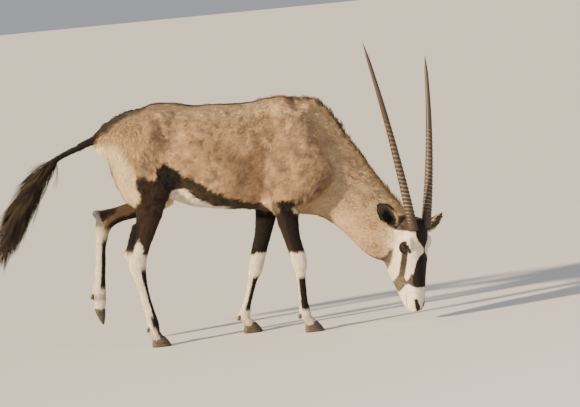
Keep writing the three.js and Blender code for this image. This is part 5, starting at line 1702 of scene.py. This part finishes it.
def growMane():
    p, mesh = skinPlaces, skinPiece.data
    x, y, z = p.T
    crestY = np.interp(x, [560, 700, 885, 968, 1010], [0, -9, -52, -60, -75])
    flat = np.stack([x, z], 1)
    near = smooth(30, 12, nearLine(flat, manePlan["neckLine"])) * smooth(36, 18, np.abs(y - crestY))
    near = near * skinShare["neck"]
    withers = smooth(24, 10, nearLine(flat, manePlan["withersLine"])) * smooth(26, 12, np.abs(y))
    near = np.maximum(near, 0.6 * withers)
    lie = lieOf(p, skinShare)
    corners = np.array([f.vertices[0] for f in mesh.polygons])
    size, lift = 0.7 + 0.5 * noise(p, 30, 14), 0.2 + 0.25 * noise(p, 25, 15)
    host = hostOf("mane_host", mesh, near[corners] > 0.05, size, near, lie, lift)

    def maneColour(roots):
        tone = coatTones
        rough = smooth(0.35, 0.65, noise(roots, 22, 16))[:, None]
        return tone["crest"] + (tone["umber"] - tone["crest"]) * rough * 0.35

    maneTuft = tuftShape("maneTuft", seed=6, **manePlan["tuft"])
    growCoat("coat_mane", host, maneTuft, manePlan["density"], maneColour, tuftLook,
             manePlan["seed"], 0.3, 0.4)


growMane()
say(f"coat: {grown['triangles']} triangles in all")

# Floor, light and camera

stage = {"floor": 30.0, "target": (0.3682, 0.0998, 0.6444), "away": 20.0, "frameWidth": 2.958,
         "toCamera": (0, -0.9945, 0.1045), "up": (0.0976, 0.104, 0.9898), "sensor": 36.0}


def floorMaterial():
    material, shader = newMaterial("paleFloor", 0.9, 0.1)
    shader.inputs["Base Color"].default_value = (0.78, 0.76, 0.73, 1)
    return material


floorHalf = stage["floor"]
floorPiece = pieceOf("floor", np.array([(-floorHalf, -floorHalf, -0.0005), (floorHalf, -floorHalf, -0.0005),
                                        (floorHalf, floorHalf, -0.0005), (-floorHalf, floorHalf, -0.0005)]),
                     [(0, 1, 2, 3)], inFrame=True, smoothFaces=False)
floorPiece.data.materials.append(floorMaterial())
floorPiece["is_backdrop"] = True


def addLight(name, kind, energy, colour, fromWay, size, away=6.0):
    data = bpy.data.lights.new(name, kind)
    data.energy = energy
    data.color = colour
    if kind == "AREA":
        data.shape = "DISK"
        data.size = size
    else:
        data.angle = size
    lamp = bpy.data.objects.new(name, data)
    way = Vector(fromWay).normalized()
    lamp.location = Vector(stage["target"]) + way * away
    lamp.rotation_euler = way.to_track_quat("Z", "Y").to_euler()
    bpy.context.scene.collection.objects.link(lamp)


addLight("keyLight", "SUN", 10.5, (1.0, 0.79, 0.52), (-0.83, -0.50, 0.33), math.radians(3))
addLight("fillLight", "AREA", 80, (0.92, 0.94, 1.0), (0.5, -0.9, 0.5), 4.0)

world = bpy.data.worlds.new("softSky")
world.use_nodes = True
world.node_tree.nodes["Background"].inputs["Color"].default_value = (0.92, 0.94, 1.0, 1)
world.node_tree.nodes["Background"].inputs["Strength"].default_value = 0.42
bpy.context.scene.world = world

camera = bpy.data.objects.new("camera", bpy.data.cameras.new("camera"))
bpy.context.scene.collection.objects.link(camera)
back, upWay = Vector(stage["toCamera"]).normalized(), Vector(stage["up"]).normalized()
rightWay = upWay.cross(back).normalized()
upWay = back.cross(rightWay)
turnedCamera = Matrix((rightWay, upWay, back)).transposed().to_4x4()
turnedCamera.translation = Vector(stage["target"]) + back * stage["away"]
camera.matrix_world = turnedCamera
camera.data.sensor_width = stage["sensor"]
camera.data.lens = stage["sensor"] * stage["away"] / stage["frameWidth"]
camera.data.clip_end = 200
bpy.context.scene.camera = camera
say("stage ready")

({"cad": [list(map(float, corner)) for corner in cadBounds],
           "visual": [list(map(float, corner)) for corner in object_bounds()]})
